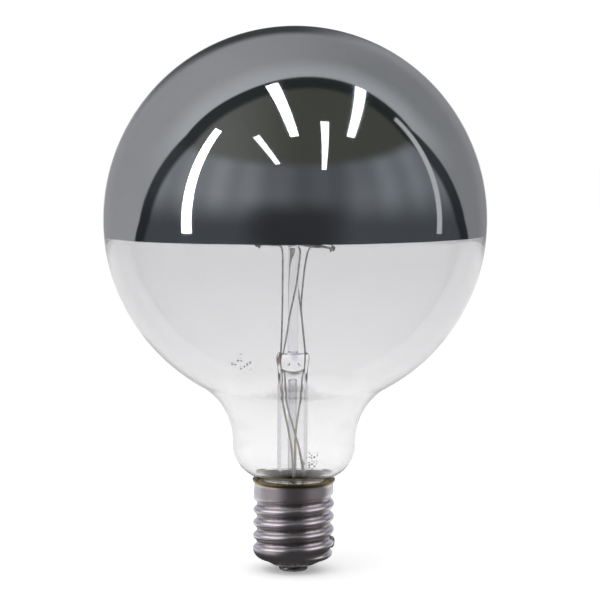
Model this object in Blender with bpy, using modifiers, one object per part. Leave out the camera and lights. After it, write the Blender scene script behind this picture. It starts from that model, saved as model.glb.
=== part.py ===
"""Globe lamp with a mirrored crown on a large screw cap, standing on its centre contact.

Metres, +Z up. The origin is the middle of the centre contact's flat end, and +Z runs up the
lamp's axis to the crown. The order is that of making the lamp: cap, glass, mount, crown.
"""
import math

import bmesh
import bpy
from mathutils import Vector

SEAT = 0.0003  # running gap between pieces that sit on each other

# Screw cap
CREST_RADIUS = 0.0195
THREAD_PITCH = 0.00635
THREAD_ROUNDING = 0.00185  # radius of the arcs at crest and root
SHEET = 0.0005
SHELL_HEIGHT = 0.0451
SHELL_FOOT = 0.0062  # height of the shell's lower edge
FOOT_ROUNDING = 0.0049
FOOT_TURN = math.radians(80)
SKIRT_RADIUS = 0.0190
SKIRT_HEIGHT = 0.0080
LIP_RADIUS = 0.0200
LIP_HEIGHT = 0.0021
LIP_BEND = 0.55  # share of its flare that the lip has lost at half its height
THREAD_PHASE = 0.0109  # height of the lowest crest on the -X side
THREAD_IN_SKIRT = 0.0018  # the last groove ends this far above the skirt's foot
THREAD_RUNOUT = 0.31  # turns over which the groove gains its depth

# Contact, insulator and solder
CONTACT_RADIUS = 0.0071
CONTACT_HEIGHT = 0.0021
CONTACT_ROUNDING = 0.0012
INSULATOR_TOP = 0.0098
INSULATOR_NECK_HEIGHT = 0.0011
CONE_STEP = 0.0039  # the cone's edge stands this far out from the contact
CONE_RISE = 0.0014  # and this far above it
WIRE_HOLE = 0.0010
SOLDER_CREST = 1  # counted up from the lowest crest on the +X side
SOLDER_WIDTH = 0.0021
SOLDER_LENGTH = 0.0031
SOLDER_PROUD = 0.0010

# Blown glass
GLOBE_RADIUS = 0.0940
GLASS_WALL = 0.0010
NECK_RADIUS = 0.0305
NECK_LENGTH = 0.0020
NECK_BLEND = 0.0305
SHOULDER_ROUNDING = 0.0178
SHOULDER_CLEARANCE = 0.0016
TUBE_RADIUS = 0.0158
TUBE_BLEND = 0.0020
SEAL_DEPTH = 0.0120  # the glass reaches this far below the lip
CEMENT_DEPTH = 0.0090
CEMENT_SUNK = 0.0006
CEMENT_CLEARANCE = 0.0004  # between cement and glass

# Mirror film
CROWN_EDGE_DROP = 0.0075  # below the globe's centre
FILM = 0.0003

# Mount
MOUNT_LEAN = -0.0008
STEM_RADIUS = 0.00745
STEM_WALL = 0.0010
STEM_HEIGHT = 0.0725
FLARE_HEIGHT = 0.0120
PRESS_HEIGHT = 0.0106
PRESS_WIDTH = 0.0166
PRESS_THICKNESS = 0.0058
PINCH_HEIGHT = 0.0030  # below the press's foot, where the tube is half pinched
EXHAUST_RADIUS = 0.00225
EXHAUST_WALL = 0.0008
EXHAUST_HANG = 0.0101  # its closed tip hangs this far below the seal
EXHAUST_POINT = 0.0034  # length over which the tip draws in
ROD_RADIUS = 0.00254
BUTTON_RADIUS = 0.0046
BUTTON_NECK = 0.0060  # the rod meets the button this far below its middle
BUTTON_RISE = 0.0115  # above the filament
LEAD_RADIUS = 0.00045
LEAD_SPAN = 0.0116
LEAD_BEND = 0.0038  # the leads start to bend outwards this far below the filament
LEAD_TURN = 0.0020  # and are nearly level this far outside their line
STAY_SPAN = 0.0092
SEAL_WIRE_RADIUS = 0.0004
OUTER_LEAD_RADIUS = 0.00035
FILAMENT_DROP = 0.0138  # below the globe's centre
FILAMENT_RING = 0.0190
FILAMENT_RADIUS = 0.0006
FILAMENT_SWEEP = math.radians(230)
FILAMENT_TILT = math.radians(1.8)
HOOK_COUNT = 5
HOOK_STEP = math.radians(40)
HOOK_RADIUS = 0.00025

# Routes of the wires, bend by bend. Leads and stays: share of half their span, depth as a share
# of what clears the rod, share of the way up. Outer leads: share of the stem's bore, depth as a
# share of what clears the exhaust tube, share of the way down.
LEAD_ROUTE = ((0.81, 0.0, 0.45), (0.845, 0.14, 0.72))
STAY_ROUTE = ((0.6, 0.95, 0.20), (0.2, 1.0, 0.42), (-0.4, 1.0, 0.65), (-0.68, 0.9, 0.90),
              (-0.5, 0.8, 1.0))
CONTACT_ROUTE = ((0.64, 0.9, 0.13), (0.34, 1.0, 0.33), (0.22, 1.0, 0.53), (0.28, 1.0, 0.77),
                 (0.25, 1.0, 1.0))
STRAND_ROUTE = ((-0.71, 0.9, 0.13), (-0.39, 1.0, 0.31), (0.0, 1.0, 0.53), (0.06, 1.06, 0.77),
                (0.09, 1.31, 1.0))
SIDE_ROUTE = ((-0.56, 1.31, 0.15), (-0.28, 1.31, 0.24), (0.155, 1.31, 0.36), (0.56, 1.19, 0.51),
              (0.79, 0.31, 0.68), (0.775, 0.0, 0.85))

# Fineness
ROUND_STEPS = 30
SMALL_STEPS = 20
CROWN_ROWS = 8
SKIRT_ROWS = (0.25, 0.5, 0.7, 0.85, 1.0)
FLARE_ROWS = (0.0, 0.15, 0.4, 0.7, 1.0)
PRESS_ROWS = ((0.94, 1.0, 0.0), (1.0, 1.0, 0.7), (0.9, 0.75, 1.0))  # width, thickness, height

# Heights that follow from the sizes above
CREST_HALF = THREAD_PITCH / 4
THREAD_DEPTH = 2 * (THREAD_ROUNDING - math.sqrt(THREAD_ROUNDING ** 2 - CREST_HALF ** 2))
SHELL_INNER = CREST_RADIUS - THREAD_DEPTH - SHEET
SKIRT_TOP = SHELL_HEIGHT - LIP_HEIGHT
SKIRT_FOOT = SKIRT_TOP - SKIRT_HEIGHT
LOWEST_ROOT = THREAD_PHASE - THREAD_PITCH / 2
THREAD_TURNS = (SKIRT_FOOT + THREAD_IN_SKIRT - LOWEST_ROOT) / THREAD_PITCH
THREAD_TOP = LOWEST_ROOT + THREAD_PITCH * (THREAD_TURNS + THREAD_RUNOUT / 2 + 0.5)
SHOULDER_REACH = NECK_RADIUS - SHOULDER_ROUNDING
SHOULDER_Z = (SHELL_HEIGHT + SHOULDER_CLEARANCE
              + math.sqrt(SHOULDER_ROUNDING ** 2 - (LIP_RADIUS - SHOULDER_REACH) ** 2))
GLOBE_Z = (SHOULDER_Z + NECK_LENGTH
           + math.sqrt((GLOBE_RADIUS + NECK_BLEND) ** 2 - (NECK_RADIUS + NECK_BLEND) ** 2))
SEAL_Z = SHELL_HEIGHT - SEAL_DEPTH
FLARE_Z = SEAL_Z + STEM_WALL
FLARE_RADIUS = TUBE_RADIUS - GLASS_WALL - SEAT * 1.3 + MOUNT_LEAN
EXHAUST_TIP = SEAL_Z - EXHAUST_HANG
PRESS_TOP = FLARE_Z + STEM_HEIGHT
PRESS_FOOT = PRESS_TOP - PRESS_HEIGHT
CAVITY_TOP = PRESS_FOOT - STEM_WALL
FILAMENT_Z = GLOBE_Z - FILAMENT_DROP
BUTTON_Z = FILAMENT_Z + BUTTON_RISE


def clear_scene():
    for thing in list(bpy.data.objects):
        bpy.data.objects.remove(thing, do_unlink=True)


def collection(name):
    group = bpy.data.collections.new(name)
    bpy.context.scene.collection.children.link(group)
    return group


def finish(name, colour, roughness, metallic=0.0, clear=0.0):
    """A Principled material."""
    material = bpy.data.materials.new(name)
    material.use_nodes = True
    shader = material.node_tree.nodes["Principled BSDF"]
    shader.inputs["Base Color"].default_value = (*colour, 1.0)
    shader.inputs["Roughness"].default_value = roughness
    shader.inputs["Metallic"].default_value = metallic
    shader.inputs["Transmission Weight"].default_value = clear
    return material


def place(name, data, material):
    thing = bpy.data.objects.new(name, data)
    data.materials.append(material)
    PARTS.objects.link(thing)
    return thing


def arc(centre, radius, start, end, steps):
    """Points (r, z) on an arc about centre, from angle start to end, measured from +r."""
    points = []
    for step in range(steps + 1):
        angle = start + (end - start) * step / steps
        points.append((centre[0] + radius * math.cos(angle),
                       centre[1] + radius * math.sin(angle)))
    return points


def profile_mesh(name, points, ring):
    """The open or closed outline of a turned piece, in the XZ plane."""
    mesh = bpy.data.meshes.new(name)
    corners = [(max(r, 0.0), 0.0, z) for r, z in points]
    edges = [(i, i + 1) for i in range(len(corners) - 1)]
    if ring:
        edges.append((len(corners) - 1, 0))
    mesh.from_pydata(corners, edges, [])
    return mesh


def turned(name, points, material, ring=False, steps=ROUND_STEPS):
    """A profile, running down its outer side, turned about Z."""
    thing = place(name, profile_mesh(name, points, ring), material)
    screw = thing.modifiers.new("turn", "SCREW")
    screw.steps = steps
    screw.render_steps = steps
    screw.use_merge_vertices = True
    screw.merge_threshold = 0.00001
    screw.use_smooth_shade = True
    return thing


def walled(thing, thickness):
    """Gives an open turned surface its wall, inwards."""
    wall = thing.modifiers.new("wall", "SOLIDIFY")
    wall.thickness = thickness
    wall.offset = -1.0
    wall.use_even_offset = True
    return thing


def as_mesh(thing):
    """The object as a plain mesh, with its modifiers applied and its doubles merged."""
    graph = bpy.context.evaluated_depsgraph_get()
    mesh = bpy.data.meshes.new_from_object(thing.evaluated_get(graph))
    work = bmesh.new()
    work.from_mesh(mesh)
    bmesh.ops.remove_doubles(work, verts=work.verts, dist=0.000005)
    work.to_mesh(mesh)
    work.free()
    mesh.shade_smooth()
    mesh.set_sharp_from_angle(angle=math.radians(40))
    name = thing.name
    fixed = bpy.data.objects.new(name, mesh)
    fixed.matrix_world = thing.matrix_world
    fixed.parent = thing.parent
    for group in thing.users_collection:
        group.objects.link(fixed)
    bpy.data.objects.remove(thing, do_unlink=True)
    fixed.name = name
    return fixed


def cutter(thing):
    """Moves an object to the cutters, which are not part of the lamp."""
    PARTS.objects.unlink(thing)
    CUTTERS.objects.link(thing)
    thing.hide_render = True
    thing.display_type = "WIRE"
    return thing


def cut(thing, tool):
    step = thing.modifiers.new("cut", "BOOLEAN")
    step.operation = "DIFFERENCE"
    step.solver = "EXACT"
    step.object = tool


def drill(name, radius, start, end, parent=None):
    """A round cutter from start to end."""
    run = Vector(end) - Vector(start)
    mesh = bpy.data.meshes.new(name)
    work = bmesh.new()
    bmesh.ops.create_cone(work, cap_ends=True, segments=8, radius1=radius, radius2=radius,
                          depth=run.length)
    work.to_mesh(mesh)
    work.free()
    thing = bpy.data.objects.new(name, mesh)
    PARTS.objects.link(thing)
    thing.location = (Vector(start) + Vector(end)) / 2
    thing.rotation_euler = run.to_track_quat("Z", "Y").to_euler()
    thing.parent = parent
    return cutter(thing)


def wire(name, route, radius, material, sides=6, smooth=2, parent=None):
    """A round wire that runs smoothly through the points of its route."""
    curve = bpy.data.curves.new(name, "CURVE")
    curve.dimensions = "3D"
    curve.bevel_depth = radius
    curve.bevel_resolution = (sides - 4) // 2
    curve.use_fill_caps = True
    curve.resolution_u = smooth
    spline = curve.splines.new("BEZIER")
    spline.bezier_points.add(len(route) - 1)
    for knot, point in zip(spline.bezier_points, route):
        knot.co = point
        knot.handle_left_type = "AUTO"
        knot.handle_right_type = "AUTO"
    thing = place(name, curve, material)
    thing.parent = parent
    return thing


def section(half_x, half_y, z, steps, squareness=2.0):
    """A superellipse: a circle at squareness 2, flatter sides above it."""
    ring = []
    for step in range(steps):
        angle = 2 * math.pi * step / steps
        c, s = math.cos(angle), math.sin(angle)
        x = half_x * math.copysign(abs(c) ** (2 / squareness), c)
        y = half_y * math.copysign(abs(s) ** (2 / squareness), s)
        ring.append((x, y, z))
    return ring


def lofted(name, sections, material, parent=None):
    """One closed body through a row of like sections, capped at its first and last."""
    work = bmesh.new()
    rows = [[work.verts.new(point) for point in ring] for ring in sections]
    for lower, upper in zip(rows, rows[1:]):
        for i in range(len(lower)):
            j = (i + 1) % len(lower)
            work.faces.new((lower[i], lower[j], upper[j], upper[i]))
    work.faces.new(rows[-1])
    work.faces.new(list(reversed(rows[0])))
    bmesh.ops.recalc_face_normals(work, faces=work.faces)
    mesh = bpy.data.meshes.new(name)
    work.to_mesh(mesh)
    work.free()
    mesh.shade_smooth()
    mesh.set_sharp_from_angle(angle=math.radians(50))
    thing = place(name, mesh, material)
    thing.parent = parent
    return thing


def groove_depth(climb, window):
    """How deep the rolled groove lies at a height above its root: two arcs that meet halfway."""
    away = min(abs(climb), THREAD_PITCH / 2)
    if away < CREST_HALF:
        rise = THREAD_ROUNDING - math.sqrt(THREAD_ROUNDING ** 2 - away ** 2)
        return (THREAD_DEPTH - rise) * window
    left = THREAD_PITCH / 2 - away
    return (THREAD_ROUNDING - math.sqrt(THREAD_ROUNDING ** 2 - left ** 2)) * window


def thread_depth(x, y, z):
    """The groove's depth at a point of the shell. It climbs one pitch a turn, right-handed,
    and runs out over THREAD_RUNOUT turns at both ends."""
    turn = (math.atan2(y, x) / (2 * math.pi) + 0.5) % 1.0
    lowest_root = LOWEST_ROOT + THREAD_PITCH * turn
    nearest = round((z - lowest_root) / THREAD_PITCH)
    along = nearest + turn
    first = THREAD_RUNOUT / 2
    fade_in = (along - first) / THREAD_RUNOUT
    fade_out = (first + THREAD_TURNS - along) / THREAD_RUNOUT
    window = max(0.0, min(1.0, fade_in, fade_out))
    return groove_depth(z - lowest_root - nearest * THREAD_PITCH, window)


def shell_outline():
    """The shell before its thread is rolled: flared lip, skirt, barrel and turned-in foot."""
    bend = (CREST_RADIUS - FOOT_ROUNDING, SHELL_FOOT + FOOT_ROUNDING * math.sin(FOOT_TURN))
    rows = round((SKIRT_FOOT - bend[1]) / (THREAD_PITCH / 5))
    barrel = [(CREST_RADIUS, SKIRT_FOOT + (bend[1] - SKIRT_FOOT) * i / rows)
              for i in range(1, rows)]
    upper = [(SKIRT_RADIUS + (CREST_RADIUS - SKIRT_RADIUS) * share,
              SKIRT_TOP - SKIRT_HEIGHT * share) for share in SKIRT_ROWS]
    return ([(LIP_RADIUS, SHELL_HEIGHT),
             (LIP_RADIUS - (LIP_RADIUS - SKIRT_RADIUS) * LIP_BEND, SHELL_HEIGHT - LIP_HEIGHT / 2),
             (SKIRT_RADIUS, SKIRT_TOP)]
            + upper + barrel + arc(bend, FOOT_ROUNDING, 0.0, -FOOT_TURN, 4))


def threaded(name, points, material, clearance=0.0):
    """A turned surface whose barrel has the thread rolled into it."""
    thing = as_mesh(turned(name, points, material))
    for corner in thing.data.vertices:
        x, y, z = corner.co
        radius = math.hypot(x, y)
        if radius > SHELL_INNER:
            sunk = (radius - thread_depth(x, y, z) + clearance) / radius
            corner.co = (x * sunk, y * sunk, z)
    return thing


def solder_place():
    """The height of the solder and of the hole behind it, on a crest on the +X side."""
    return THREAD_PHASE + THREAD_PITCH * (SOLDER_CREST - 0.5)


def make_cap():
    """Shell, side solder, insulator, contact and cement."""
    nickel = finish("nickelled_brass", (0.55, 0.54, 0.53), 0.32, metallic=1.0)
    shell = walled(threaded("screw_shell", shell_outline(), nickel), SHEET)
    solder_z = solder_place()
    cut(shell, drill("lead_hole", WIRE_HOLE, (SHELL_INNER - SHEET, 0, solder_z),
                     (CREST_RADIUS + SHEET, 0, solder_z)))

    bed = [(0.0, SHELL_HEIGHT)] + shell_outline() + [(0.0, SHELL_FOOT)]
    bed = cutter(threaded("solder_bed", bed, nickel, clearance=SEAT))
    solder = finish("solder", (0.33, 0.35, 0.33), 0.45, metallic=1.0)
    mesh = bpy.data.meshes.new("side_solder")
    work = bmesh.new()
    bmesh.ops.create_uvsphere(work, u_segments=12, v_segments=8, radius=1.0)
    bmesh.ops.scale(work, verts=work.verts,
                    vec=(SOLDER_PROUD * 2, SOLDER_WIDTH, SOLDER_LENGTH))
    bmesh.ops.translate(work, verts=work.verts,
                        vec=(CREST_RADIUS - SOLDER_PROUD, 0, solder_z))
    work.to_mesh(mesh)
    work.free()
    mesh.shade_smooth()
    cut(place("side_solder", mesh, solder), bed)

    foot_edge = CREST_RADIUS - FOOT_ROUNDING * (1 - math.cos(FOOT_TURN))
    neck = foot_edge - SEAT * 1.4
    under = CONTACT_HEIGHT + SEAT
    shelf = SHELL_FOOT + INSULATOR_NECK_HEIGHT
    flange = SHELL_INNER - SEAT * 2
    turned("insulator",
           [(WIRE_HOLE, INSULATOR_TOP), (flange, INSULATOR_TOP), (flange, shelf + SHEET * 2),
            (neck, shelf), (neck, SHELL_FOOT), (CONTACT_RADIUS + CONE_STEP, under + CONE_RISE),
            (CONTACT_RADIUS + SHEET, under), (WIRE_HOLE, under)],
           finish("black_glass", (0.02, 0.02, 0.022), 0.25), ring=True, steps=24)

    bend = (CONTACT_RADIUS - CONTACT_ROUNDING, CONTACT_ROUNDING)
    turned("centre_contact",
           [(0.0, CONTACT_HEIGHT), (CONTACT_RADIUS, CONTACT_HEIGHT)]
           + arc(bend, CONTACT_ROUNDING, 0.0, -math.pi / 2, 3) + [(0.0, 0.0)],
           solder, steps=24)

    skirt_inner = SKIRT_RADIUS - SHEET - SEAT
    wide = THREAD_TOP + SEAT
    narrow = SHELL_INNER - SEAT
    foot = SHELL_HEIGHT - CEMENT_DEPTH
    hole = TUBE_RADIUS + CEMENT_CLEARANCE
    inner_edge, middle, outer_edge = (
        (radius, min(SHELL_HEIGHT - CEMENT_SUNK, glass_over(radius) - CEMENT_CLEARANCE))
        for radius in (hole, blend_meets_shoulder(), skirt_inner + SHEET))
    turned("basing_cement",
           [outer_edge, (skirt_inner, SKIRT_TOP), (skirt_inner, wide), (narrow, wide - SHEET),
            (narrow, foot), (hole, foot), inner_edge, middle],
           finish("basing_cement", (0.45, 0.36, 0.20), 0.75), ring=True)


def blend_onto(centre, radius, line, blend):
    """Where a concave arc meets a circle above it and a vertical line below: its centre and
    the angle at which it leaves the circle."""
    across = line + blend - centre[0]
    down = math.sqrt((radius + blend) ** 2 - across ** 2)
    return (line + blend, centre[1] - down), math.atan2(-down, across)


def tube_blend():
    """The blend between the glass's shoulder and the tube that goes into the cap."""
    return blend_onto((SHOULDER_REACH, SHOULDER_Z), SHOULDER_ROUNDING, TUBE_RADIUS, TUBE_BLEND)


def blend_meets_shoulder():
    """The radius at which that blend leaves the shoulder."""
    return SHOULDER_REACH + SHOULDER_ROUNDING * math.cos(tube_blend()[1])


def glass_over(radius):
    """The height of the glass's underside over the cap's mouth, on its blend or shoulder."""
    if radius < blend_meets_shoulder():
        middle_r, middle_z = tube_blend()[0]
        return middle_z + math.sqrt(TUBE_BLEND ** 2 - (middle_r - radius) ** 2)
    return SHOULDER_Z - math.sqrt(SHOULDER_ROUNDING ** 2 - (radius - SHOULDER_REACH) ** 2)


def make_glass():
    """The blown bulb, and the mirror film on the inside of its crown."""
    glass = finish("clear_glass", (0.93, 0.95, 0.95), 0.02, clear=1.0)
    centre = (0.0, GLOBE_Z)
    edge = -math.asin(CROWN_EDGE_DROP / GLOBE_RADIUS)
    neck_bend, leave = blend_onto(centre, GLOBE_RADIUS, NECK_RADIUS, NECK_BLEND)
    shoulder = (SHOULDER_REACH, SHOULDER_Z)
    tube_bend, turn_in = tube_blend()
    outline = (arc(centre, GLOBE_RADIUS, math.pi / 2, edge, CROWN_ROWS)
               + arc(centre, GLOBE_RADIUS, edge, leave, 5)[1:]
               + arc(neck_bend, NECK_BLEND, leave + math.pi, math.pi, 4)[1:]
               + arc(shoulder, SHOULDER_ROUNDING, 0.0, turn_in, 4)
               + arc(tube_bend, TUBE_BLEND, turn_in + math.pi, math.pi, 2)[1:]
               + [(TUBE_RADIUS, SEAL_Z)])
    walled(turned("glass_bulb", outline, glass), GLASS_WALL)

    silver = finish("mirror_film", (0.62, 0.64, 0.65), 0.03, metallic=1.0)
    inside = GLOBE_RADIUS - GLASS_WALL - SEAT
    crown = arc(centre, inside, math.pi / 2, edge, CROWN_ROWS)
    walled(turned("silver_crown", crown, silver), FILM)


def make_stem(axis):
    """Flare, tube and pressed head in one, with the two seal wires through the press."""
    glass = bpy.data.materials["clear_glass"]
    half_width, half_thick = PRESS_WIDTH / 2, PRESS_THICKNESS / 2
    outer, inner = [], []
    bore = STEM_RADIUS - STEM_WALL
    for share in FLARE_ROWS:
        spread = (1 - share) ** 3
        radius = STEM_RADIUS + (FLARE_RADIUS - STEM_RADIUS) * spread
        outer.append(section(radius, radius, FLARE_Z + FLARE_HEIGHT * share, SMALL_STEPS))
        radius = bore + (FLARE_RADIUS - bore) * spread
        inner.append(section(radius, radius,
                             FLARE_Z - STEM_WALL + (FLARE_HEIGHT + STEM_WALL) * share,
                             SMALL_STEPS))
    pinch = PRESS_FOOT - STEM_RADIUS
    outer += [section(STEM_RADIUS, STEM_RADIUS, pinch, SMALL_STEPS),
              section(STEM_RADIUS, (STEM_RADIUS + half_thick) * 0.55,
                      PRESS_FOOT - PINCH_HEIGHT, SMALL_STEPS, 2.2)]
    outer += [section(half_width * wide, half_thick * thick, PRESS_FOOT + PRESS_HEIGHT * high,
                      SMALL_STEPS, 3.0) for wide, thick, high in PRESS_ROWS]
    inner += [section(bore, bore, pinch - STEM_WALL, SMALL_STEPS),
              section(bore, half_thick * 1.35, CAVITY_TOP - STEM_WALL * 2.5, SMALL_STEPS, 2.4),
              section(bore, half_thick * 0.6, CAVITY_TOP, SMALL_STEPS, 3.0)]
    stem = lofted("stem_tube", list(reversed(inner)) + outer, glass, axis)

    dumet = finish("seal_wire", (0.45, 0.20, 0.12), 0.4, metallic=1.0)
    for side, name in ((-1, "left"), (1, "right")):
        x = side * LEAD_SPAN / 2
        y = -side * LEAD_RADIUS
        cut(stem, drill("wire_hole_" + name, SEAL_WIRE_RADIUS + SEAT, (x, y, CAVITY_TOP - SHEET),
                        (x, y, PRESS_TOP + SHEET), axis))
        wire("seal_wire_" + name, [(x, y, CAVITY_TOP), (x, y, PRESS_TOP)], SEAL_WIRE_RADIUS,
             dumet, smooth=1, parent=axis)

    top = CAVITY_TOP - STEM_WALL * 1.6
    bore = EXHAUST_RADIUS - EXHAUST_WALL
    point = EXHAUST_TIP + EXHAUST_POINT
    tube = turned("exhaust_tube",
                  [(bore, top), (EXHAUST_RADIUS, top), (EXHAUST_RADIUS, point),
                   (EXHAUST_RADIUS * 0.6, EXHAUST_TIP + EXHAUST_POINT * 0.25),
                   (0.0, EXHAUST_TIP), (0.0, EXHAUST_TIP + EXHAUST_WALL * 2), (bore, point)],
                  glass, ring=True, steps=12)
    tube.parent = axis


def make_rod(axis):
    """The glass rod on the press, melted to a button at its top."""
    glass = bpy.data.materials["clear_glass"]
    foot = PRESS_TOP + SEAT
    button = arc((0.0, BUTTON_Z), BUTTON_RADIUS, math.pi / 2, -math.radians(50), 5)
    rod = turned("arbor_rod",
                 button + [(ROD_RADIUS, BUTTON_Z - BUTTON_NECK), (ROD_RADIUS, foot), (0.0, foot)],
                 glass, steps=14)
    rod.parent = axis


def ring_point(angle, lift=0.0, outward=0.0):
    """A point by the filament's ring, which hangs a little lower on its +X side."""
    radius = FILAMENT_RING + outward
    x, y = radius * math.cos(angle), radius * math.sin(angle)
    return Vector((x, y, FILAMENT_Z + lift - FILAMENT_RING * math.cos(angle)
                   * math.sin(FILAMENT_TILT)))


def make_filament():
    """The coiled tungsten as a round bar along its ring, open at the front."""
    tungsten = finish("tungsten", (0.10, 0.07, 0.06), 0.6, metallic=1.0)
    start = math.pi / 2 - FILAMENT_SWEEP / 2
    count = 9
    route = [ring_point(start + FILAMENT_SWEEP * i / (count - 1)) for i in range(count)]
    wire("filament", route, FILAMENT_RADIUS, tungsten, smooth=3)


def make_hooks():
    """The hooks: out of the button, over the filament and round under it."""
    molybdenum = finish("molybdenum", (0.16, 0.15, 0.15), 0.45, metallic=1.0)
    clear = FILAMENT_RADIUS + SEAT + HOOK_RADIUS
    root = Vector((MOUNT_LEAN, 0.0, BUTTON_Z))
    for number in range(HOOK_COUNT):
        angle = math.pi / 2 + HOOK_STEP * (number - (HOOK_COUNT - 1) / 2)
        over = ring_point(angle, lift=clear * 2, outward=clear)
        away = Vector((over.x - root.x, over.y - root.y, 0.0)).normalized()
        start = root + away * (BUTTON_RADIUS + SEAT)
        middle = start.lerp(over, 0.55) + Vector((0, 0, BUTTON_RISE * 0.2))
        wire("support_hook_%d" % (number + 1),
             [start, middle, over, ring_point(angle, lift=-clear * 0.2, outward=clear * 1.2),
              ring_point(angle, lift=-clear * 1.3)],
             HOOK_RADIUS, molybdenum, sides=4)


def make_inner_wires(axis):
    """Two leads up from the press to the filament's ends, and two stays that cross the rod."""
    nickel = finish("nickel_wire", (0.18, 0.18, 0.18), 0.4, metallic=1.0)
    foot = PRESS_TOP + SEAT
    rise = FILAMENT_Z - foot
    start = math.pi / 2 - FILAMENT_SWEEP / 2
    reach = FILAMENT_RADIUS + SEAT + LEAD_RADIUS
    pass_by = ROD_RADIUS + SEAT * 2 + LEAD_RADIUS
    for side, name, angle in ((-1, "left", math.pi - start), (1, "right", start)):
        end = ring_point(angle, outward=-reach)
        end.x -= MOUNT_LEAN
        x, y = side * LEAD_SPAN / 2, -side * LEAD_RADIUS
        route = [(x, y, foot)]
        route += [(x * across, y - pass_by * deep, foot + rise * up)
                  for across, deep, up in LEAD_ROUTE]
        route += [(x, y - LEAD_TURN / 2, end.z - LEAD_BEND),
                  (x + side * LEAD_TURN, y - LEAD_TURN, end.z - LEAD_RADIUS), end]
        wire("inner_lead_" + name, route, LEAD_RADIUS, nickel, parent=axis)

    for side, name in ((-1, "front"), (1, "back")):
        x, y = side * STAY_SPAN / 2, side * LEAD_RADIUS * 2
        route = [(x, y, foot)]
        route += [(x * across, side * pass_by * deep, foot + rise * up)
                  for across, deep, up in STAY_ROUTE]
        wire("stay_wire_" + name, route, LEAD_RADIUS, nickel, parent=axis)


def make_outer_leads(axis):
    """The pale wires from the press down through the stem, into the cap."""
    copper = finish("lead_wire", (0.55, 0.50, 0.36), 0.45, metallic=1.0)
    head = CAVITY_TOP - SEAT
    fall = head - FLARE_Z
    bore = STEM_RADIUS - STEM_WALL
    beside = EXHAUST_RADIUS + OUTER_LEAD_RADIUS + SEAT * 2
    apart = 2 * OUTER_LEAD_RADIUS + SEAT
    span = LEAD_SPAN / 2
    hole_z = solder_place()
    mouth = SHELL_INNER - SHEET

    def down(stops):
        return [(bore * across, -beside * deep, head - fall * share)
                for across, deep, share in stops]

    wire("outer_lead_contact",
         [(span, -LEAD_RADIUS, head)] + down(CONTACT_ROUTE)
         + [(-MOUNT_LEAN, -beside * 0.6, EXHAUST_TIP - apart),
            (-MOUNT_LEAN, 0.0, INSULATOR_TOP + apart),
            (-MOUNT_LEAN, 0.0, CONTACT_HEIGHT + SEAT)],
         OUTER_LEAD_RADIUS, copper, parent=axis)
    free_end = Vector((mouth - apart * 4.5, -apart, hole_z + apart * 2.2))
    wire("outer_lead_strand",
         [(-span, LEAD_RADIUS, head)] + down(STRAND_ROUTE)
         + [(free_end.x * 0.46, -beside - apart, (FLARE_Z + free_end.z) / 2 + apart), free_end],
         OUTER_LEAD_RADIUS, copper, parent=axis)
    wire("outer_lead_side",
         [(-span + apart, -apart, head - SEAT)] + down(SIDE_ROUTE)
         + [(bore * 0.9, 0.0, FLARE_Z - apart), (mouth - apart * 4, 0.0, hole_z + apart),
            (mouth, 0.0, hole_z), (CREST_RADIUS - MOUNT_LEAN, 0.0, hole_z)],
         OUTER_LEAD_RADIUS, copper, parent=axis)


clear_scene()
PARTS = collection("silver_crown_bulb")
CUTTERS = collection("cutters")
mount_axis = bpy.data.objects.new("mount_axis", None)
mount_axis.location = (MOUNT_LEAN, 0.0, 0.0)
PARTS.objects.link(mount_axis)

make_cap()
make_glass()
make_stem(mount_axis)
make_rod(mount_axis)
make_inner_wires(mount_axis)
make_filament()
make_hooks()
make_outer_leads(mount_axis)
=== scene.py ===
"""Looks of a globe lamp with a mirrored crown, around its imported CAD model.

Metres, +Z up, in the frame's own axes: the lamp stands on its centre contact at the origin.
Every piece is a surface worked out as whole arrays: a profile of (r, z) points turned about the
lamp's axis, or a ring of points carried along a path. The glass has two real walls, the filament
is a real coil and the screw shell has its thread rolled into both of its sides.
"""

import math

import bpy
import numpy as np
from mathutils import Matrix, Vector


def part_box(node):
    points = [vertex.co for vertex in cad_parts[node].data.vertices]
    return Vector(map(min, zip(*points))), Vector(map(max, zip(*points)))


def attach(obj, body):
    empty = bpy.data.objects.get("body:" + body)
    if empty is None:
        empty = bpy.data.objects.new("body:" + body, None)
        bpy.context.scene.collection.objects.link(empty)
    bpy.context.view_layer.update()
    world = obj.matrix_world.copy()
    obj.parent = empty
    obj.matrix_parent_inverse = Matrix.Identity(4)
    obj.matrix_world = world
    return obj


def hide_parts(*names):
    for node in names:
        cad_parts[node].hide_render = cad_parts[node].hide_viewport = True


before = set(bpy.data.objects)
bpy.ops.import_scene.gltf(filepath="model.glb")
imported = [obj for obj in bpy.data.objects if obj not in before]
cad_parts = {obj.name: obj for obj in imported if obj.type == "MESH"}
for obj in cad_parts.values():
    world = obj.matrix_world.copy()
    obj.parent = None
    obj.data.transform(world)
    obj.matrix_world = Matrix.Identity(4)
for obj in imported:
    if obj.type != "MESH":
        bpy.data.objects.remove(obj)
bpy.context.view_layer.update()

MM = 0.001
TAU = 2 * math.pi

# Places that come from the frame


def heights(node):
    """The heights of a node's foot and top."""
    low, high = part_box(node)
    return low.z, high.z


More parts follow.
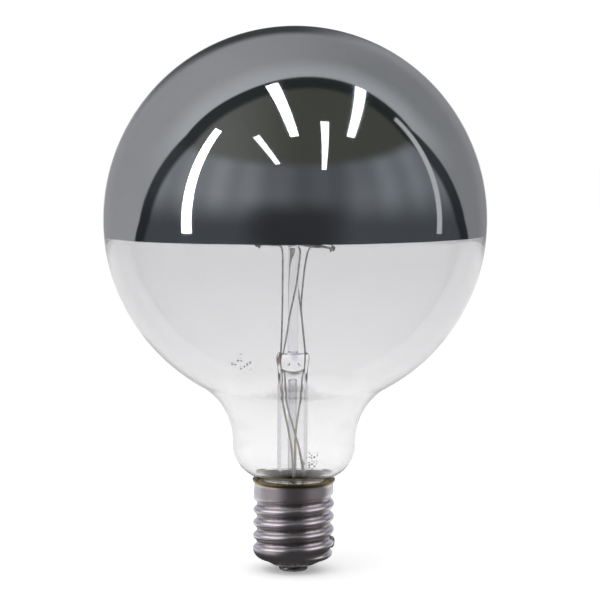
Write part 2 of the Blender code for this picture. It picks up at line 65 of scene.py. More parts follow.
GLASS_FOOT, GLASS_TOP = heights("glass_bulb")
SHELL_FOOT, SHELL_TOP = heights("screw_shell")
CONTACT_TOP = heights("centre_contact")[1]
INSULATOR_TOP = heights("insulator")[1]
FLARE_FOOT, PRESS_TOP = heights("stem_tube")
EXHAUST_TIP, EXHAUST_TOP = heights("exhaust_tube")
CEMENT_FOOT = heights("basing_cement")[0]
SOLDER_Z = sum(heights("side_solder")) / 2
ROD_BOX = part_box("arbor_rod")
AXIS_X = (ROD_BOX[0].x + ROD_BOX[1].x) / 2  # the mount leans a little off the lamp's axis
PRESS_MM = PRESS_TOP / MM  # for the places on the mount that are given in millimetres

# Blown glass
GLOBE_RADIUS = 94.0 * MM
GLOBE_Z = GLASS_TOP - GLOBE_RADIUS
SNUG = 0.9999  # the CAD's globe is many-sided, so its box is a hair narrower
WITHIN = (*(edge / GLOBE_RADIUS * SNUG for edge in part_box("glass_bulb")[1][:2]), 1.0)
NECK_RADIUS = 30.5 * MM
NECK_BLEND = 30.5 * MM
SHOULDER_ROUNDING = 17.8 * MM
SHOULDER_CLEARANCE = 1.6 * MM
TUBE_RADIUS = 15.8 * MM
TUBE_BLEND = 2.0 * MM
TUBE_WALL = 1.0 * MM
CROWN_WALL = 1.0 * MM
THIN_WALL = 0.85 * MM
NECK_WALL = 1.5 * MM
SHOULDER_EXTRA = 0.2 * MM  # thicker still where the shoulder turns in
DRAWN_TOP, DRAWN_LENGTH = 0.118, 0.045  # the wall thickens from this height down
THIN_DROP, THIN_LENGTH = 0.028, 0.018  # and from this far under the globe's middle up
POLE = 0.004  # the angle that the first ring of a globe keeps from its pole

# Mirror film
CROWN_EDGE_DROP = 7.5 * MM
CROWN_EDGE = GLOBE_Z - CROWN_EDGE_DROP
CROWN_TILT = math.tan(math.radians(0.55))
CROWN_EDGE_WAVE = 0.12 * MM
FILM_OUTER = GLOBE_RADIUS - CROWN_WALL + 0.05 * MM
FILM_INNER = FILM_OUTER - 0.08 * MM

# Mount
STEM_RADIUS = 7.45 * MM
STEM_WALL = 1.75 * MM
FLARE_HEIGHT = 12.0 * MM
FLARE_RADIUS = TUBE_RADIUS - 2.2 * MM
PRESS_FOOT = PRESS_TOP - 10.6 * MM
PINCH = PRESS_FOOT - STEM_RADIUS * 0.85  # where the round tube begins to flatten
PRESS_HALF_WIDTH = 8.3 * MM
PRESS_HALF_THICKNESS = 2.9 * MM
EXHAUST_RADIUS = 2.25 * MM
EXHAUST_WALL = 0.8 * MM
FUSED_LENGTH = 1.6 * MM
ROD_RADIUS = 2.54 * MM
ROD_JOINT = 0.8 * MM  # above the press, where the rod is fused on
BUTTON_RADIUS = 4.6 * MM
LEAD_RADIUS = 0.45 * MM
SEAL_WIRE_RADIUS = 0.42 * MM
OUTER_LEAD_RADIUS = 0.46 * MM
FILAMENT_Z = GLOBE_Z - 13.3 * MM
FILAMENT_RING = 19.0 * MM
FILAMENT_SWEEP = math.radians(230)
FILAMENT_TILT = math.sin(math.radians(2.4))
COIL_RADIUS = 0.50 * MM
COIL_WIRE = 0.085 * MM
COIL_TURNS = 236
HOOK_RADIUS = 0.2 * MM
HOOK_ANGLES = np.radians([10, 50, 90, 130, 170])

# Screw shell
CREST_RADIUS = 19.5 * MM
THREAD_PITCH = 6.35 * MM
THREAD_ROUNDING = 1.85 * MM
THREAD_PHASE = 10.9 * MM
THREAD_TURNS = 4.58
THREAD_RUNOUT = 0.31
SHEET = 0.5 * MM
FOOT_ROUNDING = 4.9 * MM
FOOT_TURN = math.radians(80)
SKIRT_RADIUS = 19.0 * MM
SKIRT_HEIGHT = 8.0 * MM
LIP_RADIUS = 20.0 * MM
LIP_HEIGHT = 2.1 * MM
CONTACT_RADIUS = 7.1 * MM
CREST_HALF = THREAD_PITCH / 4
THREAD_DEPTH = 2 * (THREAD_ROUNDING - math.sqrt(THREAD_ROUNDING ** 2 - CREST_HALF ** 2))
BORE = CREST_RADIUS - THREAD_DEPTH - SHEET

# Fineness
ROUND = 256
SMALL = 64
FLARE_ROWS = 18
STAGE_STEPS = 96

# Studio, in metres
FLOOR_REACH = 12.0
WALL_REACH = 6.0
TABLE_REACH = 0.55
TABLE_HOLE = 0.009  # under the contact
TABLE_HEIGHT = 0.0004
GROUND_HEIGHT = 0.0006
NECK_TOP = 0.12  # the neck's glass ends here for the studio's tones
FOLDS = 17.0  # of the curtains, all the way round
GLOBE_PASSES = 3.5  # light that has passed more faces of glass has crossed the globe
MOUNT_PASSES = 4.5  # and light that has passed more than this the mount as well


# Shapes


def arc(centre, radius, start, end, count):
    """Points (r, z) of an arc: r = r0 + R cos a and z = z0 + R sin a."""
    angle = np.linspace(start, end, count)
    return np.stack([centre[0] + radius * np.cos(angle), centre[1] + radius * np.sin(angle)], 1)


def line(start, end, count):
    """Points on a straight line: start (1 - t) + end t."""
    share = np.linspace(0, 1, count)[:, None]
    return np.array(start) * (1 - share) + np.array(end) * share


def chain(*runs):
    """Runs of points joined end to end, without the points that two runs share."""
    points = np.vstack(runs)
    step = np.linalg.norm(np.diff(points, axis=0), axis=1)
    return points[np.concatenate([[True], step > 1e-7])]


def through(points, count):
    """A smooth line through points: between each two it is the cubic whose slope at a point is
    half the step between its neighbours."""
    knots = np.array(points, float)
    row = np.vstack([2 * knots[0] - knots[1], knots, 2 * knots[-1] - knots[-2]])
    place = np.linspace(0, len(knots) - 1, count)
    first = np.minimum(place.astype(int), len(knots) - 2)
    t = (place - first)[:, None]
    a, b, c, d = (row[first + i] for i in range(4))
    return 0.5 * (2 * b + (c - a) * t + (2 * a - 5 * b + 4 * c - d) * t ** 2
                  + (3 * b - a - 3 * c + d) * t ** 3)


def turned(profile, steps=ROUND, axis_x=0.0):
    """A grid from a profile: (r cos t + axis, r sin t, z)."""
    turn = np.linspace(0, TAU, steps, endpoint=False)
    grid = np.empty((len(profile), steps, 3))
    grid[..., 0] = profile[:, :1] * np.cos(turn) + axis_x
    grid[..., 1] = profile[:, :1] * np.sin(turn)
    grid[..., 2] = profile[:, 1:]
    return grid


def offset(profile, wall):
    """The profile moved by its wall to its right-hand side, seen along its run."""
    run = np.gradient(profile, axis=0)
    run /= np.linalg.norm(run, axis=1)[:, None]
    return profile + np.stack([run[:, 1], -run[:, 0]], 1) * np.reshape(wall, (-1, 1))


def unit(vectors):
    """Vectors divided by their lengths."""
    return vectors / np.linalg.norm(vectors, axis=-1, keepdims=True)


def along(path, radius, sides, reference):
    """A round tube: each point of the path carries a ring c + r (u cos t + v sin t), where u
    leans towards the reference and both lie across the path. The ends are half round."""
    tangent = unit(np.gradient(path, axis=0))
    size = np.broadcast_to(np.asarray(radius, float), len(path))
    close = np.radians([80, 60, 35, 15])
    head = path[0] - tangent[0] * size[0] * np.sin(close)[:, None]
    tail = path[-1] + tangent[-1] * size[-1] * np.sin(close[::-1])[:, None]
    size = np.concatenate([size[0] * np.cos(close), size, size[-1] * np.cos(close[::-1])])
    centre = np.vstack([head, path, tail])
    row = np.clip(np.arange(-len(close), len(path) + len(close)), 0, len(path) - 1)
    direction = tangent[row]
    lean = np.broadcast_to(np.asarray(reference, float), path.shape)[row]
    across = unit(lean - direction * np.sum(lean * direction, 1, keepdims=True))
    other = np.cross(direction, across)
    turn = np.linspace(0, TAU, sides, endpoint=False)[None, :, None]
    ring = across[:, None] * np.cos(turn) + other[:, None] * np.sin(turn)
    return centre[:, None] + ring * size[:, None, None]


def skin(name, grid, loop=False, values=None):
    """One closed mesh through a grid of (row, step) points. Each row closes on itself. The rows
    also join end to end with loop, and otherwise each end row closes on its own middle. values
    are numbers on the grid, kept as attributes."""
    rows, steps = grid.shape[:2]
    index = np.arange(rows * steps).reshape(rows, steps)
    lower = index if loop else index[:-1]
    upper = np.roll(index, -1, 0) if loop else index[1:]
    quads = np.stack([lower, np.roll(lower, -1, 1), np.roll(upper, -1, 1), upper], -1)
    corners, tris = grid.reshape(-1, 3), np.zeros((0, 3), int)
    if not loop:
        corners = np.vstack([corners, grid[0].mean(0), grid[-1].mean(0)])
        first, last = index[0], index[-1]
        start, end = np.full(steps, rows * steps), np.full(steps, rows * steps + 1)
        tris = np.vstack([np.stack([start, np.roll(first, -1), first], 1),
                          np.stack([end, last, np.roll(last, -1)], 1)])
    quads = quads.reshape(-1, 4)
    halves = np.vstack([quads[:, [0, 1, 2]], quads[:, [0, 2, 3]], tris])
    a, b, c = (corners[halves[:, i]] for i in range(3))
    if np.sum(a * np.cross(b, c)) < 0:  # six times the volume, which is positive face outwards
        quads, tris = quads[:, ::-1], tris[:, ::-1]
    mesh = bpy.data.meshes.new(name)
    mesh.vertices.add(len(corners))
    mesh.vertices.foreach_set("co", corners.astype(np.float32).ravel())
    mesh.loops.add(quads.size + tris.size)
    mesh.loops.foreach_set("vertex_index", np.concatenate([quads.ravel(), tris.ravel()]))
    mesh.polygons.add(len(quads) + len(tris))
    sizes = np.repeat([4, 3], [len(quads), len(tris)])
    mesh.polygons.foreach_set("loop_start", np.concatenate([[0], np.cumsum(sizes)[:-1]]))
    mesh.update(calc_edges=True)
    for label, numbers in (values or {}).items():
        numbers = np.asarray(numbers, np.float32).ravel()
        if not loop:
            numbers = np.concatenate([numbers, numbers[[0, -1]]])
        mesh.attributes.new(label, "FLOAT", "POINT").data.foreach_set("value", numbers)
    mesh.shade_smooth()
    thing = bpy.data.objects.new(name, mesh)
    bpy.context.scene.collection.objects.link(thing)
    return thing


def ripple(x, y, z, seed, size):
    """A smooth random-looking swell between -1 and 1: a mean of sine waves with set directions,
    each of about the given wavelength."""
    draw = np.random.default_rng(seed)
    waves = unit(draw.normal(size=(7, 3))) * TAU / size * draw.uniform(0.6, 1.5, (7, 1))
    shift = draw.uniform(0, TAU, 7)
    place = np.stack([x, y, z], -1)
    return np.mean(np.sin(place @ waves.T + shift), -1) * 1.6


def swell_on(points, seed, size):
    """The ripple's value at each point of a grid or a path."""
    return ripple(points[..., 0], points[..., 1], points[..., 2], seed, size)


# Materials


def fill(tree, node, inputs):
    """Gives a node its inputs: one that gets a socket is linked, and any other is set."""
    for name, value in inputs.items():
        if isinstance(value, bpy.types.NodeSocket):
            tree.links.new(value, node.inputs[name])
        else:
            node.inputs[name].default_value = value


def add(tree, kind, inputs=None, **settings):
    """A new node with its settings and its inputs."""
    made = tree.nodes.new(kind)
    for name, value in settings.items():
        setattr(made, name, value)
    fill(tree, made, inputs or {})
    return made


def maths(tree, operation, *values, clamp=False):
    """A number worked out from others, each a socket or a plain number."""
    return add(tree, "ShaderNodeMath", dict(enumerate(values)), operation=operation,
               use_clamp=clamp).outputs[0]


def product(tree, first, *others):
    """Numbers or masks multiplied together, from the first on."""
    for other in others:
        first = maths(tree, "MULTIPLY", first, other)
    return first


def above(tree, value, limit):
    """A mask that is 1 where the value is over its limit."""
    return maths(tree, "GREATER_THAN", value, limit)


def below(tree, value, limit):
    """A mask that is 1 where the value is under its limit."""
    return maths(tree, "LESS_THAN", value, limit)


def vector(tree, operation, *values):
    """A vector worked out from others, each a socket or three numbers."""
    return add(tree, "ShaderNodeVectorMath", dict(enumerate(values)),
               operation=operation).outputs[0]


def length(tree, value):
    """How long a vector is."""
    return add(tree, "ShaderNodeVectorMath", {0: value}, operation="LENGTH").outputs["Value"]


def split(tree, value):
    """The x, y and z of a vector."""
    return add(tree, "ShaderNodeSeparateXYZ", {0: value}).outputs


def stretch(tree, value, low, high, start=0.0, end=1.0, smooth=True):
    """A value between low and high, mapped to start and end, and held there outside."""
    return add(tree, "ShaderNodeMapRange", {"Value": value, "From Min": low, "From Max": high,
                                            "To Min": start, "To Max": end},
               interpolation_type="SMOOTHSTEP" if smooth else "LINEAR").outputs[0]


def mixed(tree, share, first, second):
    """The first colour where share is 0, the second where it is 1, and a blend between."""
    first, second = ((*end, 1.0) if isinstance(end, tuple) else end for end in (first, second))
    return add(tree, "ShaderNodeMix", {0: share, 6: first, 7: second},
               data_type="RGBA").outputs[2]


def noise(tree, place, scale, detail=3.0, roughness=0.5):
    """Clouds with about scale of them in a metre."""
    return add(tree, "ShaderNodeTexNoise", {"Vector": place, "Scale": scale, "Detail": detail,
                                            "Roughness": roughness}).outputs["Fac"]


def effect(name, inputs, outputs):
    """An empty group with named sockets: its tree, what comes in and the node it ends with."""
    tree = bpy.data.node_groups.new(name, "ShaderNodeTree")
    for label, kind, value in inputs:
        socket = tree.interface.new_socket(label, in_out="INPUT", socket_type="NodeSocket" + kind)
        if value is not None:
            socket.default_value = value
    for label, kind in outputs:
        tree.interface.new_socket(label, in_out="OUTPUT", socket_type="NodeSocket" + kind)
    return tree, tree.nodes.new("NodeGroupInput").outputs, tree.nodes.new("NodeGroupOutput")


def use(tree, group, inputs):
    """What a group puts out in a material, with the material's own inputs."""
    return add(tree, "ShaderNodeGroup", inputs, node_tree=group).outputs


def speck_group():
    """Dust and seeds: small round spots where a cell's random number is high enough."""
    tree, come, go = effect("specks", [("Place", "Vector", None), ("Scale", "Float", 300.0),
                                       ("Amount", "Float", 0.1)], [("Mask", "Float")])
    cells = add(tree, "ShaderNodeTexVoronoi", {"Vector": come["Place"],
                                               "Scale": come["Scale"]}).outputs
    random = add(tree, "ShaderNodeSeparateColor", {"Color": cells["Color"]}).outputs[0]
    size = maths(tree, "SUBTRACT", random, maths(tree, "SUBTRACT", 1.0, come["Amount"]))
    size = maths(tree, "MULTIPLY", size, 0.9, clamp=True)
    gap = maths(tree, "SUBTRACT", size, cells["Distance"])
    fill(tree, go, {"Mask": stretch(tree, gap, 0.0, 0.04)})
    return tree


def specks(tree, place, scale, amount):
    """A mask of specks, about scale of their cells in a metre, filled to the given amount."""
    return use(tree, SPECKS, {"Place": place, "Scale": scale, "Amount": amount})["Mask"]


def handled_group():
    """Handled metal: cloudy dulling, fine grain drawn round the lamp's axis, and small pits."""
    tree, come, go = effect("handled_metal",
                            [("Place", "Vector", None), ("Bright", "Color", (0.6, 0.6, 0.6, 1)),
                             ("Dull", "Color", (0.3, 0.3, 0.3, 1)),
                             ("Cloud Scale", "Float", 120.0), ("Low Roughness", "Float", 0.2),
                             ("High Roughness", "Float", 0.45)],
                            [("Colour", "Color"), ("Roughness", "Float"), ("Height", "Float")])
    place = come["Place"]
    cloud = stretch(tree, noise(tree, place, come["Cloud Scale"], 5.0, 0.6), 0.38, 0.68)
    drawn = add(tree, "ShaderNodeMapping", {"Vector": place, "Scale": (0.06, 0.06, 1.0)})
    grain = noise(tree, drawn.outputs[0], 5200.0, 2.0, 0.6)
    worn = maths(tree, "MULTIPLY_ADD", grain, 0.35, cloud)
    worn = maths(tree, "SUBTRACT", worn, 0.17, clamp=True)
    pits = specks(tree, place, 900.0, 0.16)
    fill(tree, go, {"Colour": mixed(tree, worn, come["Bright"], come["Dull"]),
                    "Roughness": stretch(tree, worn, 0.0, 1.0, come["Low Roughness"],
                                         come["High Roughness"], smooth=False),
                    "Height": maths(tree, "SUBTRACT", grain, pits)})
    return tree


def start(name, metallic=0.0, ior=1.5, clear=0.0):
    """A new material: its tree, its shader and its Object coordinates."""
    material = bpy.data.materials.new(name)
    material.use_nodes = True
    tree = material.node_tree
    shader = tree.nodes["Principled BSDF"]
    fill(tree, shader, {"Metallic": metallic, "IOR": ior, "Transmission Weight": clear})
    return material, tree, shader, add(tree, "ShaderNodeTexCoord").outputs["Object"]


def bump(tree, height, distance, strength):
    """The surface's normal, tilted by a height of up to distance metres."""
    return add(tree, "ShaderNodeBump", {"Height": height, "Distance": distance,
                                        "Strength": strength}).outputs[0]


def glass_finish(name, tints_and_shade, dust, wave, spatter_and_shade=()):
    """Soda glass with faint dust and the slow swell of blown glass. Its (height, colour) pairs are
    read along the lamp's axis: a plain tint on the tube, the mount and the rod, and on the globe a
    grey that deepens upwards, painted shade. Its coloured patches (centre, half size, colour,
    grain) are broken into specks where grain is set: dirt spatter on the bulb, and on the mount
    mostly painted shade and painted refracted images. It lets the lamps' light through."""
    material, tree, shader, place = start(name, clear=1.0)
    dusty = maths(tree, "MAXIMUM", specks(tree, place, 95.0, dust),
                  specks(tree, place, 420.0, dust * 0.5))
    x, _, height = split(tree, place)
    level = maths(tree, "SUBTRACT", height, product(tree, x, CROWN_TILT))
    # Colour along the axis: a plain tint, and on the globe painted shade that greys towards the
    # crown.
    body = tints_and_shade[0][1]
    for (low, _), (high, colour) in zip(tints_and_shade, tints_and_shade[1:]):
        body = mixed(tree, stretch(tree, level, low, high), body, colour)
    # Patches: dirt spatter on the bulb, and on the mount mostly painted shade and painted
    # refracted images.
    for centre, size, colour, grain in spatter_and_shade:
        away = vector(tree, "SUBTRACT", place, np.array(centre) * MM)
        away = vector(tree, "DIVIDE", away, np.array(size) * MM)
        mask = stretch(tree, length(tree, away), 1.0, 0.6)
        if grain:
            mask = product(tree, mask, specks(tree, place, grain, 0.55))
        body = mixed(tree, mask, body, colour)
    fill(tree, shader, {"Base Color": mixed(tree, dusty, body,
                                            tuple(part * 0.8 for part in tints_and_shade[-1][1])),
                        "Roughness": product(tree, dusty, 0.25),
                        "Normal": bump(tree, noise(tree, place, wave, 1.5, 0.4), 0.0002, 0.2)})
    unshaded = add(tree, "ShaderNodeBsdfTransparent", {"Color": (0.9, 0.92, 0.92, 1.0)})
    shadow = add(tree, "ShaderNodeLightPath").outputs["Is Shadow Ray"]
    blend = add(tree, "ShaderNodeMixShader", {0: shadow, 1: shader.outputs[0],
                                              2: unshaded.outputs[0]})
    fill(tree, tree.nodes["Material Output"], {"Surface": blend.outputs[0]})
    return material


def mirror_finish():
    """Silvering seen through its glass: bright, with faint clouds and pinholes."""
    material, tree, shader, place = start("mirror_film", metallic=1.0)
    cloud = stretch(tree, noise(tree, place, 14.0, 4.0, 0.6), 0.35, 0.7)
    silver = mixed(tree, cloud, (0.80, 0.81, 0.82), (0.74, 0.76, 0.77))
    pinholes = specks(tree, place, 240.0, 0.035)
    fill(tree, shader, {"Base Color": mixed(tree, pinholes, silver, (0.42, 0.42, 0.43)),
                        "Roughness": stretch(tree, cloud, 0.0, 1.0, 0.012, 0.045),
                        "Normal": bump(tree, noise(tree, place, 9.0, 2.0, 0.4), 0.0012, 0.08)})
    return material


def metal_finish(name, bright, dull, low, high, clouds, depth=0.00002, metallic=1.0, wear=None):
    """A handled metal in its own two tones. wear, where there is one, works on its colour."""
    material, tree, shader, place = start(name, metallic=metallic)
    handled = use(tree, HANDLED, {"Place": place, "Bright": (*bright, 1), "Dull": (*dull, 1),
                                  "Cloud Scale": clouds, "Low Roughness": low,
                                  "High Roughness": high})
    colour = wear(tree, place, handled["Colour"]) if wear else handled["Colour"]
    fill(tree, shader, {"Base Color": colour, "Roughness": handled["Roughness"],
                        "Normal": bump(tree, handled["Height"], depth, 0.35)})
    return material


def shell_wear(tree, place, plate):
    """Darker patches towards the roots of the thread, and bare olive brass on the flared lip."""
    groove, lip = (add(tree, "ShaderNodeAttribute", attribute_name=label).outputs["Fac"]
                   for label in ("groove", "lip"))
    dark_roots = product(tree, stretch(tree, groove, 0.55, 1.0), noise(tree, place, 420.0, 4.0))
    dark_roots = maths(tree, "MULTIPLY", dark_roots, 1.1, clamp=True)
    brass = mixed(tree, noise(tree, place, 300.0), (0.36, 0.27, 0.10), (0.14, 0.11, 0.05))
    return mixed(tree, lip, mixed(tree, dark_roots, plate, (0.16, 0.145, 0.125)), brass)


def black_glass_finish():
    """Pressed black glass with small brassy sparkles of filings."""
    material, tree, shader, place = start("black_glass", ior=1.55)
    filings = specks(tree, place, 700.0, 0.07)
    fill(tree, shader, {"Base Color": mixed(tree, filings, (0.035, 0.035, 0.037),
                                            (0.55, 0.43, 0.2)),
                        "Metallic": filings,
                        "Roughness": stretch(tree, noise(tree, place, 260.0), 0.3, 0.7, 0.07,
                                             0.3),
                        "Normal": bump(tree, noise(tree, place, 500.0), 0.0001, 0.5)})
    return material


def cement_finish():
    """Baked basing cement: tan and sandy."""
    material, tree, shader, place = start("cement")
    sand = noise(tree, place, 900.0, 6.0, 0.7)
    fill(tree, shader, {"Base Color": mixed(tree, stretch(tree, sand, 0.3, 0.7),
                                            (0.46, 0.36, 0.20), (0.74, 0.62, 0.40)),
                        "Roughness": stretch(tree, sand, 0.2, 0.8, 0.65, 0.95),
                        "Normal": bump(tree, sand, 0.0004, 0.8)})
    return material


# Pieces of the cap


def thread_depth(turn, z):
    """How deep the rolled groove lies. It climbs one pitch a turn, right-handed; its section is
    a concave arc about each root and a convex arc about each crest, which meet halfway; and it
    fades in and out over THREAD_RUNOUT turns."""
    lowest = THREAD_PHASE - THREAD_PITCH / 2 + THREAD_PITCH * turn
    nearest = np.round((z - lowest) / THREAD_PITCH)
    ahead = (nearest + turn - THREAD_RUNOUT / 2) / THREAD_RUNOUT
    behind = (THREAD_RUNOUT / 2 + THREAD_TURNS - nearest - turn) / THREAD_RUNOUT
    window = np.clip(np.minimum(ahead, behind), 0, 1)
    window = window * window * (3 - 2 * window)
    away = np.minimum(np.abs(z - lowest - nearest * THREAD_PITCH), THREAD_PITCH / 2)
    near = THREAD_DEPTH - THREAD_ROUNDING + np.sqrt(
        THREAD_ROUNDING ** 2 - np.minimum(away, CREST_HALF) ** 2)
    left = np.clip(THREAD_PITCH / 2 - away, 0, CREST_HALF)
    far = THREAD_ROUNDING - np.sqrt(THREAD_ROUNDING ** 2 - left ** 2)
    return np.where(away < CREST_HALF, near, far) * window


def screw_shell():
    """Flared lip, skirt, threaded barrel and turned-in foot, as one rolled sheet: an outline
    turned about the axis, less the thread's depth. The outline is the sheet's inner side, and
    its thickness lies outside it."""
    skirt_top = SHELL_TOP - LIP_HEIGHT
    skirt_foot = skirt_top - SKIRT_HEIGHT
    bend = (CREST_RADIUS - FOOT_ROUNDING, SHELL_FOOT + FOOT_ROUNDING * math.sin(FOOT_TURN))
    lip = through([(LIP_RADIUS, SHELL_TOP), (LIP_RADIUS - 0.25 * MM, SHELL_TOP - 0.7 * MM),
                   (SKIRT_RADIUS + 0.12 * MM, SHELL_TOP - 1.6 * MM),
                   (SKIRT_RADIUS, skirt_top - 0.4 * MM)], 12)
    outline = chain(lip, line((SKIRT_RADIUS, skirt_top - 0.4 * MM),
                              (CREST_RADIUS, skirt_foot), 18),
                    line((CREST_RADIUS, skirt_foot), (CREST_RADIUS, bend[1]), 112),
                    arc(bend, FOOT_ROUNDING, 0.0, -FOOT_TURN, 16))
    wall = SHEET / 2
    middle = offset(outline, -wall)
    rim = middle[:1] + np.array([[math.cos(a), math.sin(a)] for a in (0.9, 1.57, 2.2)]) * wall
    grids = []
    for side in (wall, -wall):
        grid = turned(offset(middle, side))
        turn = (np.arctan2(grid[..., 1], grid[..., 0]) / TAU + 0.5) % 1.0
        deep = thread_depth(turn, grid[..., 2])
        radius = np.hypot(grid[..., 0], grid[..., 1])
        fade = np.clip((radius - BORE + SHEET) / SHEET, 0, 1)
        grid[..., :2] *= ((radius - deep * fade) / radius)[..., None]
        grids.append((grid, deep * fade / THREAD_DEPTH))
    edge = turned(rim)
    inner, outer = grids
    grid = np.concatenate([outer[0], inner[0][::-1], edge[::-1]])
    groove = np.concatenate([outer[1], inner[1][::-1], np.zeros(edge.shape[:2])])
    height = grid[..., 2]
    bare = np.clip((height - (SHELL_TOP - 1.9 * MM)) / (0.5 * MM), 0, 1)
    dent = swell_on(grid, 4, 26 * MM) * 0.03 * MM
    radius = np.hypot(grid[..., 0], grid[..., 1])
    grid[..., :2] *= (1 + dent / radius)[..., None]
    return skin("screw_shell", grid, loop=True, values={"groove": groove, "lip": bare})


def insulator():
    """The black glass cone: flange inside the shell, neck through its foot, cone to the stud."""
    foot_edge = CREST_RADIUS - FOOT_ROUNDING * (1 - math.cos(FOOT_TURN))
    under = CONTACT_TOP + 0.2 * MM
    neck = foot_edge - 0.42 * MM
    hole = 1.0 * MM
    shelf, throat = 7.6 * MM, 7.2 * MM
    flange = (BORE - 0.6 * MM, INSULATOR_TOP)
    profile = chain(line((hole, INSULATOR_TOP), flange, 5),
                    through([flange, (neck + 0.4 * MM, shelf), (neck, throat),
                             (neck, SHELL_FOOT + 0.1 * MM),
                             (neck - 0.7 * MM, SHELL_FOOT - 0.9 * MM),
                             (CONTACT_RADIUS * 1.62, under + 1.5 * MM),
                             (CONTACT_RADIUS + 1.9 * MM, under + 0.35 * MM),
                             (CONTACT_RADIUS - 0.2 * MM, under)], 40),
                    line((CONTACT_RADIUS - 0.2 * MM, under), (hole, under), 5))
    grid = turned(profile, 128)
    uneven = swell_on(grid, 11, 7 * MM) * 0.1 * MM
    grid[..., 2] += uneven * (grid[..., 2] < SHELL_FOOT)
    return skin("insulator", grid, loop=True)


def centre_contact():
    """The stud, tinned: rounded edge, and a low lump of solder on its left side."""
    rounding, upper, middle = 1.1 * MM, 0.3 * MM, 0.15 * MM
    bend = (CONTACT_RADIUS - rounding, rounding)
    profile = chain(line((middle, CONTACT_TOP), (CONTACT_RADIUS - upper, CONTACT_TOP), 10),
                    arc((CONTACT_RADIUS - upper, CONTACT_TOP - upper), upper, math.pi / 2, 0, 5),
                    arc(bend, rounding, 0.0, -math.pi / 2, 10),
                    line((CONTACT_RADIUS - rounding, 0.0), (middle, 0.0), 14))
    grid = turned(profile, 128)
    x, y, z = grid[..., 0], grid[..., 1], grid[..., 2]
    side = np.clip(1 - np.abs(z - CONTACT_TOP * 0.45) / (CONTACT_TOP * 0.6), 0, 1)
    lump = np.exp(-((x + 4.3 * MM) / (1.6 * MM)) ** 2) * (y < 0) * side
    push = 1 + (ripple(x, y, z, 5, 2.2 * MM) * 0.05 + lump * 0.35) * MM / CONTACT_RADIUS * side
    grid[..., :2] *= push[..., None]
    return skin("centre_contact", grid)


def side_solder():
    """The blob that holds the side lead on the lowest crest but one: an ellipsoid with a
    swelling surface, flattened against the thread."""
    down = np.linspace(0.04, math.pi - 0.04, 40)[:, None]
    turn = np.linspace(0, TAU, 64, endpoint=False)[None]
    push = 1 + 0.10 * ripple(np.sin(down) * np.cos(turn), np.sin(down) * np.sin(turn),
                             np.cos(down) + 0 * turn, 21, 1.3)
    x = CREST_RADIUS - 1.0 * MM + 1.95 * MM * np.sin(down) * np.cos(turn) * push
    y = 2.5 * MM * np.sin(down) * np.sin(turn) * push
    z = SOLDER_Z + 3.1 * MM * np.cos(down) * push + 0 * turn
    return skin("side_solder", np.stack([x, y, z], -1))


def basing_cement():
    """The cement ring between shell and glass: stepped round the skirt, its top drawn up where
    it wets the glass and the lip."""
    skirt_inner = SKIRT_RADIUS - SHEET - 0.3 * MM
    narrow = BORE - 0.3 * MM
    hole = TUBE_RADIUS + 0.25 * MM
    top = SHELL_TOP - 0.7 * MM
    surface = through([(skirt_inner + 0.35 * MM, top), (17.9 * MM, top - 0.75 * MM),
                       (16.9 * MM, top - 0.65 * MM), (hole, top - 0.1 * MM)], 16)
    wide = SHELL_TOP - 3.9 * MM
    profile = chain(surface, line((hole, top - 0.1 * MM), (hole, CEMENT_FOOT), 14),
                    line((hole, CEMENT_FOOT), (narrow, CEMENT_FOOT), 5),
                    line((narrow, CEMENT_FOOT), (narrow, wide - 0.5 * MM), 8),
                    line((narrow, wide - 0.5 * MM), (skirt_inner, wide), 4),
                    line((skirt_inner, wide), (skirt_inner, SHELL_TOP - 2.1 * MM), 4))
    grid = turned(profile, 160)
    lumps = swell_on(grid, 31, 3 * MM) * 0.16 * MM
    grid[..., 2] += lumps * (grid[..., 2] > top - 1.2 * MM)
    return skin("basing_cement", grid, loop=True)


# Glass pieces


def blend_onto(centre, radius, wall_line, blend):
    """Where a concave arc meets a circle above it and a vertical line below: its centre, and
    the angle at which it leaves the circle."""
    over = wall_line + blend - centre[0]
    down = math.sqrt((radius + blend) ** 2 - over ** 2)
    return (wall_line + blend, centre[1] - down), math.atan2(-down, over)


